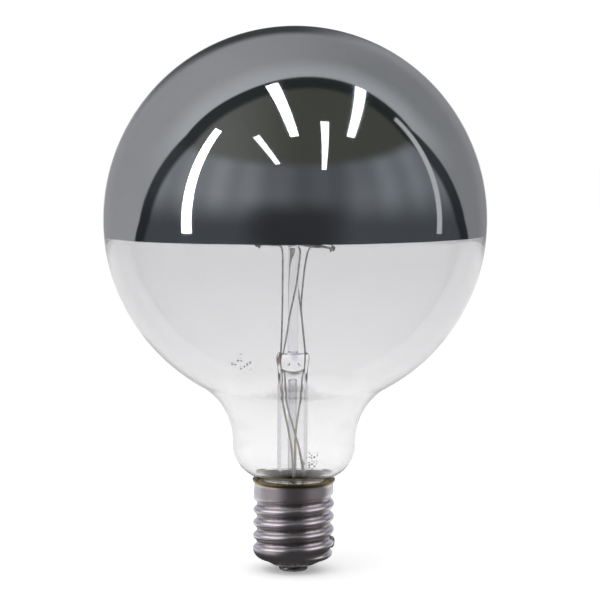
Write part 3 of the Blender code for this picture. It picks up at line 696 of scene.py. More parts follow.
def glass_bulb():
    """Globe, concave blend, neck, rounded shoulder and tube, blown as one. The wall is thinnest
    on the globe and thickest where the glass was drawn in at neck and shoulder."""
    centre = (0.0, GLOBE_Z)
    reach = NECK_RADIUS - SHOULDER_ROUNDING
    shoulder = (reach, SHELL_TOP + SHOULDER_CLEARANCE
                + math.sqrt(SHOULDER_ROUNDING ** 2 - (LIP_RADIUS - reach) ** 2))
    neck_bend, leave = blend_onto(centre, GLOBE_RADIUS, NECK_RADIUS, NECK_BLEND)
    tube_bend, turn_in = blend_onto(shoulder, SHOULDER_ROUNDING, TUBE_RADIUS, TUBE_BLEND)
    outline = chain(arc(centre, GLOBE_RADIUS, math.pi / 2 - POLE, leave, 112),
                    arc(neck_bend, NECK_BLEND, leave + math.pi, math.pi, 30),
                    arc(shoulder, SHOULDER_ROUNDING, 0.0, turn_in, 26),
                    arc(tube_bend, TUBE_BLEND, turn_in + math.pi, math.pi, 6),
                    line((TUBE_RADIUS, tube_bend[1]), (TUBE_RADIUS, GLASS_FOOT), 10))
    z = outline[:, 1]
    drawn = np.clip((DRAWN_TOP - z) / DRAWN_LENGTH, 0, 1)
    crown = np.clip((z - GLOBE_Z + THIN_DROP) / THIN_LENGTH, 0, 1)
    wall = THIN_WALL + (CROWN_WALL - THIN_WALL) * crown + (NECK_WALL - THIN_WALL) * drawn
    wall += SHOULDER_EXTRA * np.clip((SHELL_TOP + 9 * MM - z) / (7 * MM), 0, 1) ** 1.5
    wall = np.where(z < tube_bend[1], TUBE_WALL, wall)
    inside = offset(outline, wall)
    inside[0, 0] = outline[0, 0]
    half = wall[-1] / 2
    rim = arc((TUBE_RADIUS - half, GLASS_FOOT), half, 0, -math.pi, 7)[1:-1] + [0, half]
    profile = np.vstack([outline, rim, inside[::-1]])
    profile[:, 1] = np.maximum(profile[:, 1], GLASS_FOOT)
    return skin("glass_bulb", turned(profile) * WITHIN)


def silver_crown():
    """The film, a thin shell bonded to the inside of the glass. Its edge is a slightly tilted,
    slightly uneven line: the last row's angle changes with the turn."""
    turn = np.linspace(0, TAU, ROUND, endpoint=False)
    rim = FILM_OUTER * np.cos(turn)
    wave = (np.sin(3 * turn + 0.7) + 0.6 * np.sin(7 * turn + 2.0) + 0.4 * np.sin(16 * turn))
    edge = -CROWN_EDGE_DROP + CROWN_TILT * rim + CROWN_EDGE_WAVE * wave * 0.5
    lowest = np.arcsin(edge / FILM_OUTER)
    share = np.sort(np.append(np.linspace(0, 1, 110), [0.9997, 0.9999]))[:, None]
    angle = (math.pi / 2 - POLE) * (1 - share) + lowest[None] * share
    rows = []
    for radius, rise in ((FILM_OUTER, angle), (FILM_INNER, angle[::-1])):
        flat = radius * np.cos(rise)
        rows.append(np.stack([flat * np.cos(turn), flat * np.sin(turn),
                              GLOBE_Z + radius * np.sin(rise)], -1))
    return skin("silver_crown", np.concatenate(rows) * WITHIN)


def oval(half_x, half_y, squareness, z, steps=SMALL):
    """Rows of superellipses: x = a |cos|^(2/n), y = b |sin|^(2/n), signs kept."""
    turn = np.linspace(0, TAU, steps, endpoint=False)[None]
    power = 2 / np.reshape(squareness, (-1, 1))
    c, s = np.cos(turn), np.sin(turn)
    x = np.reshape(half_x, (-1, 1)) * np.sign(c) * np.abs(c) ** power
    y = np.reshape(half_y, (-1, 1)) * np.sign(s) * np.abs(s) ** power
    return np.stack([x + AXIS_X, y, np.broadcast_to(np.reshape(z, (-1, 1)), x.shape)], -1)


def climb(foot, *stops):
    """Heights in even steps from a foot to each stop in turn. A stop is (height, rows)."""
    runs = [[foot]]
    for height, rows in stops:
        runs.append(np.linspace(runs[-1][-1], height, rows)[1:])
    return np.concatenate(runs)


def stem_outside(spread):
    """Rows of ovals up the stem: the flare, whose radius falls with the cube of the height, the
    round tube, and the press's sides, wider than the tube and much thinner."""
    side_top = PRESS_TOP - 1.9 * MM
    height = climb(FLARE_FOOT + STEM_WALL, (FLARE_FOOT + STEM_WALL + FLARE_HEIGHT, FLARE_ROWS),
                   (PINCH, 24), (side_top, 40))
    wide = np.interp(height, [PINCH, PRESS_FOOT - 1 * MM, PRESS_FOOT + 2.6 * MM,
                              PRESS_TOP - 3.4 * MM, side_top],
                     [STEM_RADIUS, STEM_RADIUS * 0.985, STEM_RADIUS, PRESS_HALF_WIDTH * 0.99,
                      PRESS_HALF_WIDTH])
    thick = np.interp(height, [PINCH, PRESS_FOOT - 2.6 * MM, PRESS_FOOT,
                               PRESS_FOOT + 2.5 * MM, PRESS_TOP],
                      [STEM_RADIUS, STEM_RADIUS * 0.80, PRESS_HALF_THICKNESS * 1.12,
                       PRESS_HALF_THICKNESS, PRESS_HALF_THICKNESS * 0.9])
    soften = np.ones(7) / 7
    tube = slice(FLARE_ROWS + 2, -1)
    for half in (wide, thick):
        half[tube] = np.convolve(np.pad(half, 3, mode="edge"), soften, "valid")[tube]
        half[:FLARE_ROWS] = STEM_RADIUS + (FLARE_RADIUS - STEM_RADIUS) * spread
    return oval(wide, thick, np.interp(height, [PINCH, PRESS_FOOT], [2.0, 2.7]), height)


def press_head():
    """Rows over the press's top: it draws in from its sides to the rod's joint, with two ears
    standing up, each a bell curve over x."""
    ear_x, ear_width, ear_height = 6.7 * MM, 1.1 * MM, 0.75 * MM
    shoulder = through([(PRESS_HALF_WIDTH / MM, 2.61, 2.7, -1.9), (7.9, 2.55, 2.7, -0.9),
                        (7.2, 2.35, 2.6, -0.15), (5.9, 2.25, 2.5, -0.1), (4.5, 2.3, 2.3, -0.35),
                        (3.5, 2.4, 2.1, -0.1), (2.8, 2.5, 2.0, 0.25),
                        (ROD_RADIUS / MM, ROD_RADIUS / MM, 2.0, ROD_JOINT / MM)], 40)
    half_x, half_y, square, rise = shoulder.T
    top = oval(half_x * MM, half_y * MM, square, PRESS_TOP + rise * MM)
    ear = np.exp(-((np.abs(top[..., 0] - AXIS_X) - ear_x) / ear_width) ** 2)
    top[..., 2] += ear * ear_height * np.clip(rise + 1.9, 0, 1)[:, None]
    close = np.linspace(0.98, 0.06, 5)
    lid = oval(ROD_RADIUS * close, ROD_RADIUS * close, 2.0, PRESS_TOP + ROD_JOINT)
    return np.concatenate([top[1:], lid])


def stem_cavity(spread):
    """Rows up the stem's inside, which follows the outside at the wall's distance and flattens
    to a slot, and over the slot's roof, which sags in the middle with the square of x."""
    bore = STEM_RADIUS - STEM_WALL
    roof_z = PRESS_TOP - 9.6 * MM
    sag_height, sag_width, sag_length = 2.3 * MM, 5.9 * MM, 5 * MM
    depth = climb(FLARE_FOOT, (FLARE_FOOT + FLARE_HEIGHT, FLARE_ROWS), (PINCH - STEM_WALL, 20),
                  (roof_z, 30))
    wide = np.interp(depth, [PINCH, PRESS_FOOT - 2.5 * MM, roof_z],
                     [bore, bore * 1.01, bore * 1.03])
    thick = np.interp(depth, [PINCH - STEM_WALL, PRESS_FOOT - 2.8 * MM, roof_z],
                      [bore, bore * 0.74, PRESS_HALF_THICKNESS * 0.45])
    wide[:FLARE_ROWS] = thick[:FLARE_ROWS] = bore + (FLARE_RADIUS - STEM_WALL * 0.6
                                                     - bore) * spread
    inner = oval(wide, thick, np.interp(depth, [PINCH, PRESS_FOOT], [2.0, 2.5]), depth)
    close = np.linspace(1, 0.06, 14)
    roof = oval(wide[-1] * close, thick[-1] * close, 2.5, roof_z)
    roof[..., 2] += 0.8 * MM * np.sqrt(np.clip(1 - close ** 2, 0, 1))[:, None]
    grid = np.concatenate([inner, roof])
    part = np.clip((depth - roof_z + sag_length) / sag_length, 0, 1) ** 2
    part = np.concatenate([part, np.ones(len(close))])[:, None]
    grid[..., 2] += sag_height * ((grid[..., 0] - AXIS_X) / sag_width) ** 2 * part
    return grid


def stem_tube():
    """Flare, tube and pressed head, in rows of ovals: down the cavity, then up the outside and
    over the head."""
    spread = (1 - np.linspace(0, 1, FLARE_ROWS)) ** 3
    return skin("stem_tube", np.concatenate([stem_cavity(spread)[::-1], stem_outside(spread),
                                             press_head()]))


def exhaust_tube():
    """The glass tube in the stem, its bore closed where it is fused under the press and its
    lower end pinched off to a drawn tip."""
    bore = EXHAUST_RADIUS - EXHAUST_WALL
    tip = EXHAUST_TIP
    fused = EXHAUST_TOP - FUSED_LENGTH
    inside = chain(through([(0.05 * MM, tip + 1.7 * MM), (bore * 0.6, tip + 2.4 * MM),
                            (bore, tip + 4.4 * MM)], 10),
                   line((bore, tip + 4.4 * MM), (bore, fused), 40),
                   through([(bore, fused), (bore * 0.6, fused + 0.9 * MM),
                            (0.02 * MM, fused + 1.2 * MM)], 8))
    outside = chain(through([(0.02 * MM, EXHAUST_TOP), (EXHAUST_RADIUS * 0.6, EXHAUST_TOP),
                             (EXHAUST_RADIUS, EXHAUST_TOP - 0.5 * MM)], 8),
                    line((EXHAUST_RADIUS, EXHAUST_TOP - 0.5 * MM),
                         (EXHAUST_RADIUS, tip + 4.0 * MM), 40),
                    through([(EXHAUST_RADIUS, tip + 4.0 * MM),
                             (EXHAUST_RADIUS * 0.72, tip + 1.6 * MM),
                             (EXHAUST_RADIUS * 0.3, tip + 0.5 * MM), (0.05 * MM, tip)], 12))
    grid = turned(chain(inside, outside), SMALL, AXIS_X)
    grid[..., 2] = np.minimum(grid[..., 2], EXHAUST_TOP)
    return skin("exhaust_tube", grid)


def arbor_rod():
    """The rod from its joint with the press up: slightly uneven shank and melted button."""
    foot = PRESS_TOP + ROD_JOINT + 0.02 * MM
    button_z = ROD_BOX[1].z - BUTTON_RADIUS
    button = arc((0.0, button_z), BUTTON_RADIUS, math.pi / 2 - 0.02, -math.radians(48), 26)
    throat = button[-1]
    shank = chain(through([throat, (ROD_RADIUS * 1.06, throat[1] - 2.6 * MM),
                           (ROD_RADIUS, throat[1] - 5 * MM), (ROD_RADIUS, foot + 7 * MM),
                           (ROD_RADIUS, foot)], 90),
                  line((ROD_RADIUS * 0.98, foot), (0.05 * MM, foot), 5))
    grid = turned(chain(button, shank), SMALL, AXIS_X)
    fade = np.clip((grid[..., 2] - foot) / (8 * MM), 0, 1)
    swell = swell_on(grid, 8, 16 * MM) * 0.04 * MM * fade
    radius = np.hypot(grid[..., 0] - AXIS_X, grid[..., 1])
    grid[..., 0] += (grid[..., 0] - AXIS_X) * swell / np.maximum(radius, 1 * MM)
    grid[..., 1] *= 1 + swell / np.maximum(radius, 1 * MM)
    return skin("arbor_rod", grid)


# Wires


def ring_line(angle, lift=0.0):
    """Points on the filament's ring, which hangs lower on its right: (r cos a, r sin a) at the
    ring's height less x times the tilt, and raised by lift."""
    x, y = FILAMENT_RING * np.cos(angle), FILAMENT_RING * np.sin(angle)
    return np.stack([x, y, FILAMENT_Z + lift - x * FILAMENT_TILT], -1)


def filament():
    """The coil: a helix of radius COIL_RADIUS wound about the ring, which sags between hooks by
    the square of a sine."""
    begin = math.pi / 2 - FILAMENT_SWEEP / 2
    first, second = HOOK_ANGLES[:2]
    count = COIL_TURNS * 10
    share = np.linspace(0, 1, count)
    angle = begin + FILAMENT_SWEEP * share
    sag = np.sin((angle - first) / (second - first) * math.pi) ** 2
    centre = ring_line(angle, lift=-0.35 * MM * sag)
    wind = TAU * COIL_TURNS * share
    radial = np.stack([np.cos(angle), np.sin(angle), 0 * angle], -1)
    up = np.array([0.0, 0.0, 1.0])
    away = radial * np.cos(wind)[:, None] + up * np.sin(wind)[:, None]
    return skin("filament", along(centre + away * COIL_RADIUS, COIL_WIRE, 5, away))


def curl(centre, axis, radius, turns, count):
    """A helix of a few turns round a line, from above: centre + r (u cos a + v sin a) + axis
    times the turns times 0.45 mm."""
    up = np.array([0.0, 0.0, 1.0])
    beside = np.cross(axis, up)
    a = np.linspace(0, TAU * turns, count)[:, None]
    return centre + radius * (up * np.cos(a) + beside * np.sin(a)) + axis * (a / TAU) * 0.45 * MM


def support_hook(number, angle):
    """A thin hook: rooted in the button, out and over the coil, and nearly one and a half times
    round it."""
    button_z = ROD_BOX[1].z - BUTTON_RADIUS
    out = np.array([math.cos(angle), math.sin(angle), 0.0])
    tangent = np.array([-math.sin(angle), math.cos(angle), 0.0])
    root = np.array([AXIS_X, 0.0, button_z]) + out * BUTTON_RADIUS * 0.6
    reach = COIL_RADIUS + COIL_WIRE + HOOK_RADIUS + 0.1 * MM
    centre = ring_line(np.array(angle))
    loop = curl(centre, tangent, reach, 1.4, 34)
    arrive = loop[0] - out * 0.5 * MM
    bow = root * 0.45 + arrive * 0.55 + np.array([0, 0, 1.7 * MM])
    route = np.vstack([through([root, root * 0.7 + bow * 0.3 + np.array([0, 0, 0.5 * MM]), bow,
                                arrive * 0.8 + bow * 0.2, loop[0]], 30)[:-1], loop])
    return skin(f"support_hook_{number}", along(route, HOOK_RADIUS, 8, tangent))


def wire(name, route, radius, count, reference=(0.0, 1.0, 0.0), sides=14):
    """A drawn wire through the points of its route, in millimetres from the mount's axis."""
    path = through(route, count) * MM + [AXIS_X, 0, 0]
    kink = swell_on(path, len(name), 30 * MM) * 0.05 * MM
    ease = np.sin(np.linspace(0, math.pi, count)) ** 2
    path[:, 0] += kink * ease
    return skin(name, along(path, radius, sides, reference))


def inner_wires():
    """Leads to the ends of the filament, which wrap it, and the stays that cross the rod."""
    things = {}
    begin = math.pi / 2 - FILAMENT_SWEEP / 2
    foot = PRESS_MM + 0.1
    left = [(-5.95, 0.45, foot), (-5.65, 0.3, 114.0), (-5.3, -0.2, 129.8), (-5.25, -0.8, 148.0),
            (-5.3, -1.2, 156.4), (-5.8, -1.6, 159.6), (-7.4, -2.4, 160.8)]
    right = [(6.05, -0.45, foot), (5.5, -0.5, 113.5), (4.3, -0.6, 125.6), (3.95, -0.7, 131.6),
             (4.5, -0.9, 139.6), (5.1, -1.2, 146.0), (5.75, -1.4, 151.5), (6.6, -1.7, 156.4),
             (7.5, -2.1, 159.0), (8.9, -2.9, 160.2)]
    for name, rise, angle in (("inner_lead_left", left, math.pi - begin),
                              ("inner_lead_right", right, begin)):
        grip = (ring_line(np.array(angle)) - [AXIS_X, 0, 0]) / MM
        last = np.array(rise[-1])
        toward = np.array([grip[0] - last[0], grip[1] - last[1], 0.0])
        toward /= np.linalg.norm(toward)
        arm = [last * (1 - share) + (grip + [0, 0, 0.75]) * share for share in (0.35, 0.7, 0.95)]
        end = [grip + toward * 0.55 + [0, 0, 0.45], grip + toward * 0.5 + [0, 0, -0.45],
               grip + [0, 0, -0.8]]
        things[name] = wire(name, rise + arm + end, LEAD_RADIUS, 190)
    front = [(-4.9, -0.9, foot - 0.3), (-4.4, -1.5, 108.9), (-2.95, -2.9, 117.6),
             (-1.55, -3.6, 126.8), (0.0, -3.75, 134.2), (1.55, -3.75, 142.4), (2.35, -3.7, 148.5),
             (3.05, -3.6, 154.6), (3.25, -3.4, 158.4), (2.6, -3.1, 160.0)]
    back = [(6.25, 0.9, foot - 0.3), (5.95, 1.7, 109.3), (5.6, 2.6, 112.0), (4.75, 3.7, 119.5),
            (4.1, 4.3, 125.6), (3.45, 4.5, 130.6), (2.8, 4.7, 135.9), (2.1, 4.8, 141.7),
            (1.2, 4.7, 149.0), (0.4, 4.5, 156.0), (0.3, 4.3, 159.0)]
    things["stay_wire_front"] = wire("stay_wire_front", front, LEAD_RADIUS, 110)
    things["stay_wire_back"] = wire("stay_wire_back", back, LEAD_RADIUS, 110)
    return things


def seal_wire(name, side):
    """The wire sealed in the press: thin, with a thicker bead at its upper weld."""
    foot, head = (PRESS_TOP - 8.3 * MM) / MM, PRESS_MM
    route = [(side * 5.3, -side * 0.15, foot), (side * 5.75, -side * 0.3, (foot + head) / 2),
             (side * 5.95, -side * 0.45, head)]
    path = through(route, 60) * MM + [AXIS_X, 0, 0]
    share = np.linspace(0, 1, 60)
    bead = np.exp(-((share - 0.85) / 0.12) ** 2) * (0.9 if side < 0 else 0.2)
    return skin(name, along(path, SEAL_WIRE_RADIUS * (0.7 + bead), 12, (0, 1, 0)))


def outer_leads():
    """The pale wires down the stem, in front of the exhaust tube, and on into the cap."""
    things = {}
    head = (PRESS_TOP - 8.6 * MM) / MM
    flare, hole, tip = FLARE_FOOT / MM, SOLDER_Z / MM, EXHAUST_TIP / MM
    inside = (BORE - SHEET) / MM
    routes = {
        "outer_lead_contact": [
            (5.2, -0.2, head), (4.75, -0.9, 94.5), (4.0, -2.2, 88.5), (2.9, -3.1, 81.0),
            (1.9, -3.4, 73.0), (1.35, -3.3, 65.0), (1.2, -3.2, 50.0), (1.0, -3.2, flare),
            (0.8, -1.9, tip - 0.9), (0.8, 0.0, INSULATOR_TOP / MM + 0.9),
            (0.8, 0.0, CONTACT_TOP / MM + 0.3)],
        "outer_lead_strand": [
            (-5.3, 0.2, head - 0.1), (-5.3, -0.9, 94.5), (-4.8, -2.2, 88.0), (-3.7, -3.0, 80.0),
            (-1.8, -3.3, 70.0), (-0.3, -3.5, 60.5), (0.35, -4.0, 49.0), (0.6, -4.3, flare),
            (5.0, -4.2, flare * 0.72), (inside - 4.5, -1.0, hole + 2.2)],
        "outer_lead_side": [
            (-4.0, -0.9, head - 0.6), (-3.7, -1.9, 93.0), (-2.9, -3.3, 86.5), (-1.4, -4.2, 78.5),
            (0.6, -4.3, 71.0), (2.8, -4.1, 62.5), (4.3, -3.2, 53.5), (5.1, -1.4, 46.1),
            (5.8, 0.0, flare - 1.0), (inside - 4.0, 0.0, hole + 1.0), (inside, 0.0, hole),
            ((CREST_RADIUS - AXIS_X) / MM, 0.0, hole)],
    }
    for name, route in routes.items():
        reference = (0.0, 1.0, 0.0) if name == "outer_lead_side" else (1.0, 0.0, 0.0)
        things[name] = wire(name, route, OUTER_LEAD_RADIUS, 190, reference, 12)
    return things


# Studio


def stage_mesh(name, points, faces):
    """A mesh of the studio, which isn't part of the lamp."""
    mesh = bpy.data.meshes.new(name)
    mesh.from_pydata(points, [], faces)
    mesh.update()
    thing = bpy.data.objects.new(name, mesh)
    bpy.context.scene.collection.objects.link(thing)
    return thing


def circle():
    """Points of a circle of radius 1: (cos t, sin t, 0)."""
    turn = np.linspace(0, TAU, STAGE_STEPS, endpoint=False)
    return np.stack([np.cos(turn), np.sin(turn), 0 * turn], 1)


def stage_ring(name, inner, outer, height):
    """A flat ring round the lamp's axis: a circle at each of two radii, and faces between."""
    points = np.vstack([circle() * inner, circle() * outer]) + [0, 0, height]
    index = np.arange(STAGE_STEPS)
    after = np.roll(index, -1)
    faces = np.stack([index, after, STAGE_STEPS + after, STAGE_STEPS + index], 1)
    return stage_mesh(name, points.tolist(), faces.tolist())


def ray_start(tree, path):
    """The height of the place where the ray that meets a card last met a surface, and its
    distance from the lamp's axis: the place the ray hits, followed back by the ray's length."""
    geometry = add(tree, "ShaderNodeNewGeometry").outputs
    back = add(tree, "ShaderNodeVectorMath", {0: geometry["Incoming"],
                                              "Scale": path["Ray Length"]}, operation="SCALE")
    spot = vector(tree, "ADD", geometry["Position"], back.outputs[0])
    flat = vector(tree, "MULTIPLY", spot, (1.0, 1.0, 0.0))
    return split(tree, spot)["Z"], length(tree, flat)


def reflected_card(card, through=False, shy=False):
    """Gives a card a material that shows only in reflections, so that the studio round the lamp
    stays plain white to look at while polished surfaces have something to mirror. With through
    it also shows to light bent by the mount's glass inside the globe. With shy it keeps out of
    the reflections inside the globe and on the cap. Returns the material's tree, its glow, and
    masks that tell from which part of the lamp a ray comes."""
    material = bpy.data.materials.new(card.name)
    material.use_nodes = True
    material.cycles.emission_sampling = "NONE"
    card.data.materials.append(material)
    tree = material.node_tree
    tree.nodes.clear()
    glow = add(tree, "ShaderNodeEmission")
    clear = add(tree, "ShaderNodeBsdfTransparent")
    path = add(tree, "ShaderNodeLightPath").outputs
    passes = path["Transmission Depth"]
    mirrored = above(tree, path["Glossy Depth"], 0.5)
    outside = below(tree, passes, GLOBE_PASSES)
    height, away = ray_start(tree, path)
    cap = product(tree, below(tree, height, SHELL_TOP + 1 * MM),
                  below(tree, away, LIP_RADIUS + 1 * MM))
    seen = mirrored
    if through:
        bent = product(tree, above(tree, passes, MOUNT_PASSES),
                       below(tree, path["Diffuse Depth"], 0.5))
        seen = maths(tree, "MAXIMUM", seen, bent)
    if shy:
        seen = product(tree, seen, outside, below(tree, cap, 0.5))
    blend = add(tree, "ShaderNodeMixShader", {0: seen, 1: clear.outputs[0], 2: glow.outputs[0]})
    add(tree, "ShaderNodeOutputMaterial", {"Surface": blend.outputs[0]}).is_active_output = True
    rays = {"place": add(tree, "ShaderNodeTexCoord").outputs["Object"], "cap": cap,
            "neck": below(tree, height, NECK_TOP),
            "crown": above(tree, height, CROWN_EDGE - 1 * MM),
            "mirrored": mirrored, "inside": below(tree, outside, 0.5)}
    return tree, glow, rays


def soft_lamp(name, size, radiance, place, aim):
    """A flat lamp at place, facing aim. Its power gives it the stated radiance. It lights
    things but shows neither to the camera nor in reflections."""
    lamp = bpy.data.lights.new(name, "AREA")
    lamp.shape = "RECTANGLE"
    lamp.size, lamp.size_y = size
    lamp.energy = radiance * math.pi * size[0] * size[1]
    back = unit(np.array(place, float) - np.array(aim, float))
    run = np.array((1.0, 0.0, 0.0))
    run = unit(run - back * (run @ back))
    turn = np.stack([run, np.cross(back, run), back], 1)
    thing = bpy.data.objects.new(name, lamp)
    thing.matrix_world = Matrix([(*row, p) for row, p in zip(turn, place)] + [(0, 0, 0, 1)])
    thing.visible_camera = thing.visible_glossy = thing.visible_transmission = False
    bpy.context.scene.collection.objects.link(thing)


def strip_card(name, begin, end, face, width, radiance):
    """A glowing strip for the crown to mirror, from begin to end, turned square to face. Its
    brightness is even."""
    begin, end = np.array(begin, float), np.array(end, float)
    across = unit(np.cross(end - begin, np.array(face, float))) * width / 2
    strip = stage_mesh(name, [begin - across, end - across, end + across, begin + across],
                       [[0, 1, 2, 3]])
    tree, glow, _ = reflected_card(strip, shy=True)
    fill(tree, glow, {"Color": (0.97, 0.985, 1.0, 1.0), "Strength": radiance})


def direction(tree, place, height=0.0):
    """The x, y and z of the unit vector to a place from the lamp's axis at a height."""
    return split(tree, vector(tree, "NORMALIZE", vector(tree, "ADD", place, (0, 0, -height))))


def painted(tree, ways, colour, *layers):
    """Colours laid over one another. A layer is a colour and the parts of its mask, which are
    multiplied: a number, a mask, or a ramp (way, low, high) that stretch works out."""
    for over, *parts in layers:
        masks = [stretch(tree, ways[part[0]], *part[1:]) if isinstance(part, tuple) else part
                 for part in parts]
        colour = mixed(tree, product(tree, *masks), colour, over)
    return colour


def cap_tones(tree, ways):
    """What the screw cap mirrors above the table: a broad soft window on the left, a smaller
    one on the right, and shade between them and overhead. side is the angle from the front, in
    radians, and rear is its size."""
    side = maths(tree, "ARCTAN2", ways["x"], product(tree, ways["y"], -1.0))
    high = product(tree, stretch(tree, ways["z"], 0.05, 0.22),
                   stretch(tree, ways["z"], 0.88, 0.62))
    turns = {"side": side, "rear": maths(tree, "ABSOLUTE", side)}
    return painted(tree, turns, (0.04, 0.04, 0.042),
                   ((0.62, 0.59, 0.72), ("rear", 2.0, 2.5)),
                   ((1.5, 1.39, 1.54), ("side", -2.2, -1.7), ("side", -0.45, -0.80), high),
                   ((1.35, 1.24, 1.35), ("side", 0.55, 0.85), ("side", 2.0, 1.5), high))


def tent_tones(tree, ways):
    """The grey tent: darker on the right, paler by its opening and straight behind, with a dark
    patch on the left of its back, and white where the ground shows under it."""
    return painted(tree, ways, (0.335, 0.335, 0.35),
                   ((0.235, 0.24, 0.25), ("x", -0.5, 0.5)),
                   ((0.50, 0.52, 0.54), ("within", 0.35, 0.02), ("z", 0.2, 0.7), 0.6),
                   ((0.44, 0.44, 0.46), ("y", 0.72, 0.92), 0.35),
                   ((0.06, 0.062, 0.065), ("y", 0.76, 0.88), ("z", 0.12, 0.26),
                    ("x", 0.22, -0.02), ("x", -0.50, -0.16)),
                   ((0.98, 0.98, 0.99), ways["under"]))


def front_tones(tree, ways):
    """The dim studio in front of the tent: pale curtains in folds, darkest in the middle and
    low down, a darker ceiling, and a dark hem along the tent's opening."""
    turn = maths(tree, "ARCTAN2", ways["x"], ways["y"])
    folds = maths(tree, "SINE", product(tree, turn, FOLDS))
    folds = maths(tree, "MULTIPLY_ADD", folds, 0.12, 0.12)
    ceiling = painted(tree, ways, (0.13, 0.135, 0.125),
                      ((0.066, 0.068, 0.058), ("x", -0.7, 0.1)))
    return painted(tree, ways, (0.25, 0.265, 0.285),
                   ((0.10, 0.105, 0.115), ("x", -0.75, 0.1)),
                   ((0.20, 0.215, 0.235), ("x", 0.35, 0.85)),
                   ((0.05, 0.055, 0.06), folds),
                   ((0.065, 0.072, 0.08), ("z", 0.28, -0.06)),
                   ((0.02, 0.02, 0.022), ("y", -0.985, -0.80, 0.75, 0.0), ("z", 0.30, 0.05)),
                   (ceiling, ("z", 0.50, 0.60)),
                   ((0.018, 0.021, 0.024), ("within", -0.20, -0.13), ("within", 0.0, -0.02), 0.88))


def far_tones(tree, ways, mirrored):
    """The plain ground that light from inside the globe meets: white straight behind the lamp
    and grey to the sides, and to mirrored light white but for a low grey band."""
    direct = painted(tree, ways, (0.99, 0.99, 0.99), ((0.26, 0.25, 0.29), ("y", 0.985, 0.66)))
    low = painted(tree, ways, (0.95, 0.95, 0.96),
                  ((0.34, 0.33, 0.37), ("y", 0.97, 0.6), ("y", -0.2, 0.3), ("z", 0.10, 0.03)))
    return mixed(tree, mirrored, direct, low)


def wall_tones(tree, rays):
    """What lies in a direction (x, y, z) from the crown's middle: the tent behind, and in front
    the dim studio. within says how far the direction lies inside the tent's opening, whose edge
    slants and reaches further back low down. The neck, the cap and light from inside the globe
    have surroundings of their own."""
    x, y, z = direction(tree, rays["place"], GLOBE_Z)
    low = maths(tree, "MAXIMUM", maths(tree, "SUBTRACT", 0.6, z), 0.0)
    edge = maths(tree, "ADD", stretch(tree, x, -0.5, 0.5, -0.02, 0.12),
                 product(tree, low, stretch(tree, x, -0.5, 0.5, 0.42, 0.60)))
    behind = product(tree, stretch(tree, y, 0.945, 0.98), stretch(tree, z, 0.17, 0.08))
    slant = maths(tree, "SUBTRACT", z, product(tree, y, 0.14))
    beside = product(tree, stretch(tree, slant, -0.23, -0.30), stretch(tree, y, -0.3, 0.1))
    ways = {"x": x, "y": y, "z": z, "within": maths(tree, "SUBTRACT", y, edge),
            "under": maths(tree, "MAXIMUM", behind, beside)}
    return painted(tree, ways, front_tones(tree, ways),
                   (tent_tones(tree, ways), ("within", -0.012, 0.012)),
                   ((0.95, 0.95, 0.96), product(tree, rays["neck"], below(tree, z, 0.7))),
                   (cap_tones(tree, ways), rays["cap"]),
                   (far_tones(tree, ways, rays["mirrored"]), rays["inside"]))


def make_white():
    """Plain white surroundings."""
    world = bpy.data.worlds.new("white")
    bpy.context.scene.world = world
    world.use_nodes = True
    background = world.node_tree.nodes["Background"]
    fill(world.node_tree, background, {0: (1.0, 1.0, 1.0, 1.0), 1: 1.04})
    world.cycles.sampling_method = "NONE"


def make_floor():
    """The white floor. It glows a little near the lamp, so that the lamp's shadow stays faint."""
    floor = stage_mesh("floor", (circle() * FLOOR_REACH).tolist(), [list(range(STAGE_STEPS))])
    material, tree, shader, place = start("pale_floor")
    tone = stretch(tree, noise(tree, place, 3.0), 0.3, 0.7)
    fill(tree, shader, {"Base Color": mixed(tree, tone, (0.97, 0.97, 0.97), (0.96, 0.96, 0.96)),
                        "Roughness": 0.9, "Specular IOR Level": 0.1,
                        "Emission Color": (1.0, 1.0, 1.0, 1.0),
                        "Emission Strength": stretch(tree, length(tree, place), 0.9, 0.1, 0.0,
                                                     0.22)})
    floor.data.materials.append(material)


def make_walls():
    """The walls that the lamp mirrors: a quarter of a circle turned about the lamp's axis."""
    rise = np.linspace(-0.03, math.pi / 2 - 0.01, 24)
    dome = turned(np.stack([np.cos(rise), np.sin(rise)], 1) * WALL_REACH, 48)
    dome[..., 2] += 0.02
    walls = skin("studio_shell", dome)
    tree, glow, rays = reflected_card(walls, through=True)
    fill(tree, glow, {"Color": wall_tones(tree, rays)})


def make_ground():
    """The white ground round the table. It ends in a curve, nearer in front than behind, and
    past that the walls' tones go on. The crown mirrors it duller than the clear glass does, and
    the cap doesn't mirror it."""
    ground = stage_ring("studio_ground", TABLE_REACH, WALL_REACH - 0.002, GROUND_HEIGHT)
    tree, glow, rays = reflected_card(ground)
    reach = length(tree, rays["place"])
    behind = maths(tree, "DIVIDE", split(tree, rays["place"])["Y"], reach)
    limit = stretch(tree, behind, -1.0, 1.0, 0.835, 1.235, smooth=False)
    for low, high, further in ((0.2, 0.924, 0.5), (0.9, 1.0, 1.2)):
        limit = maths(tree, "ADD", limit,
                      stretch(tree, behind, low, high, 0.0, further, smooth=False))
    white = product(tree, below(tree, reach, limit), below(tree, rays["cap"], 0.5))
    ways = {"reach": reach}
    dull = painted(tree, ways, (0.66, 0.665, 0.68), ((0.46, 0.465, 0.48), ("reach", 0.5, 2.2)))
    pale = painted(tree, ways, (0.97, 0.97, 0.98), ((0.62, 0.62, 0.64), ("reach", 0.9, 2.2)),
                   (dull, rays["crown"]))
    fill(tree, glow, {"Color": mixed(tree, white, wall_tones(tree, rays), pale)})


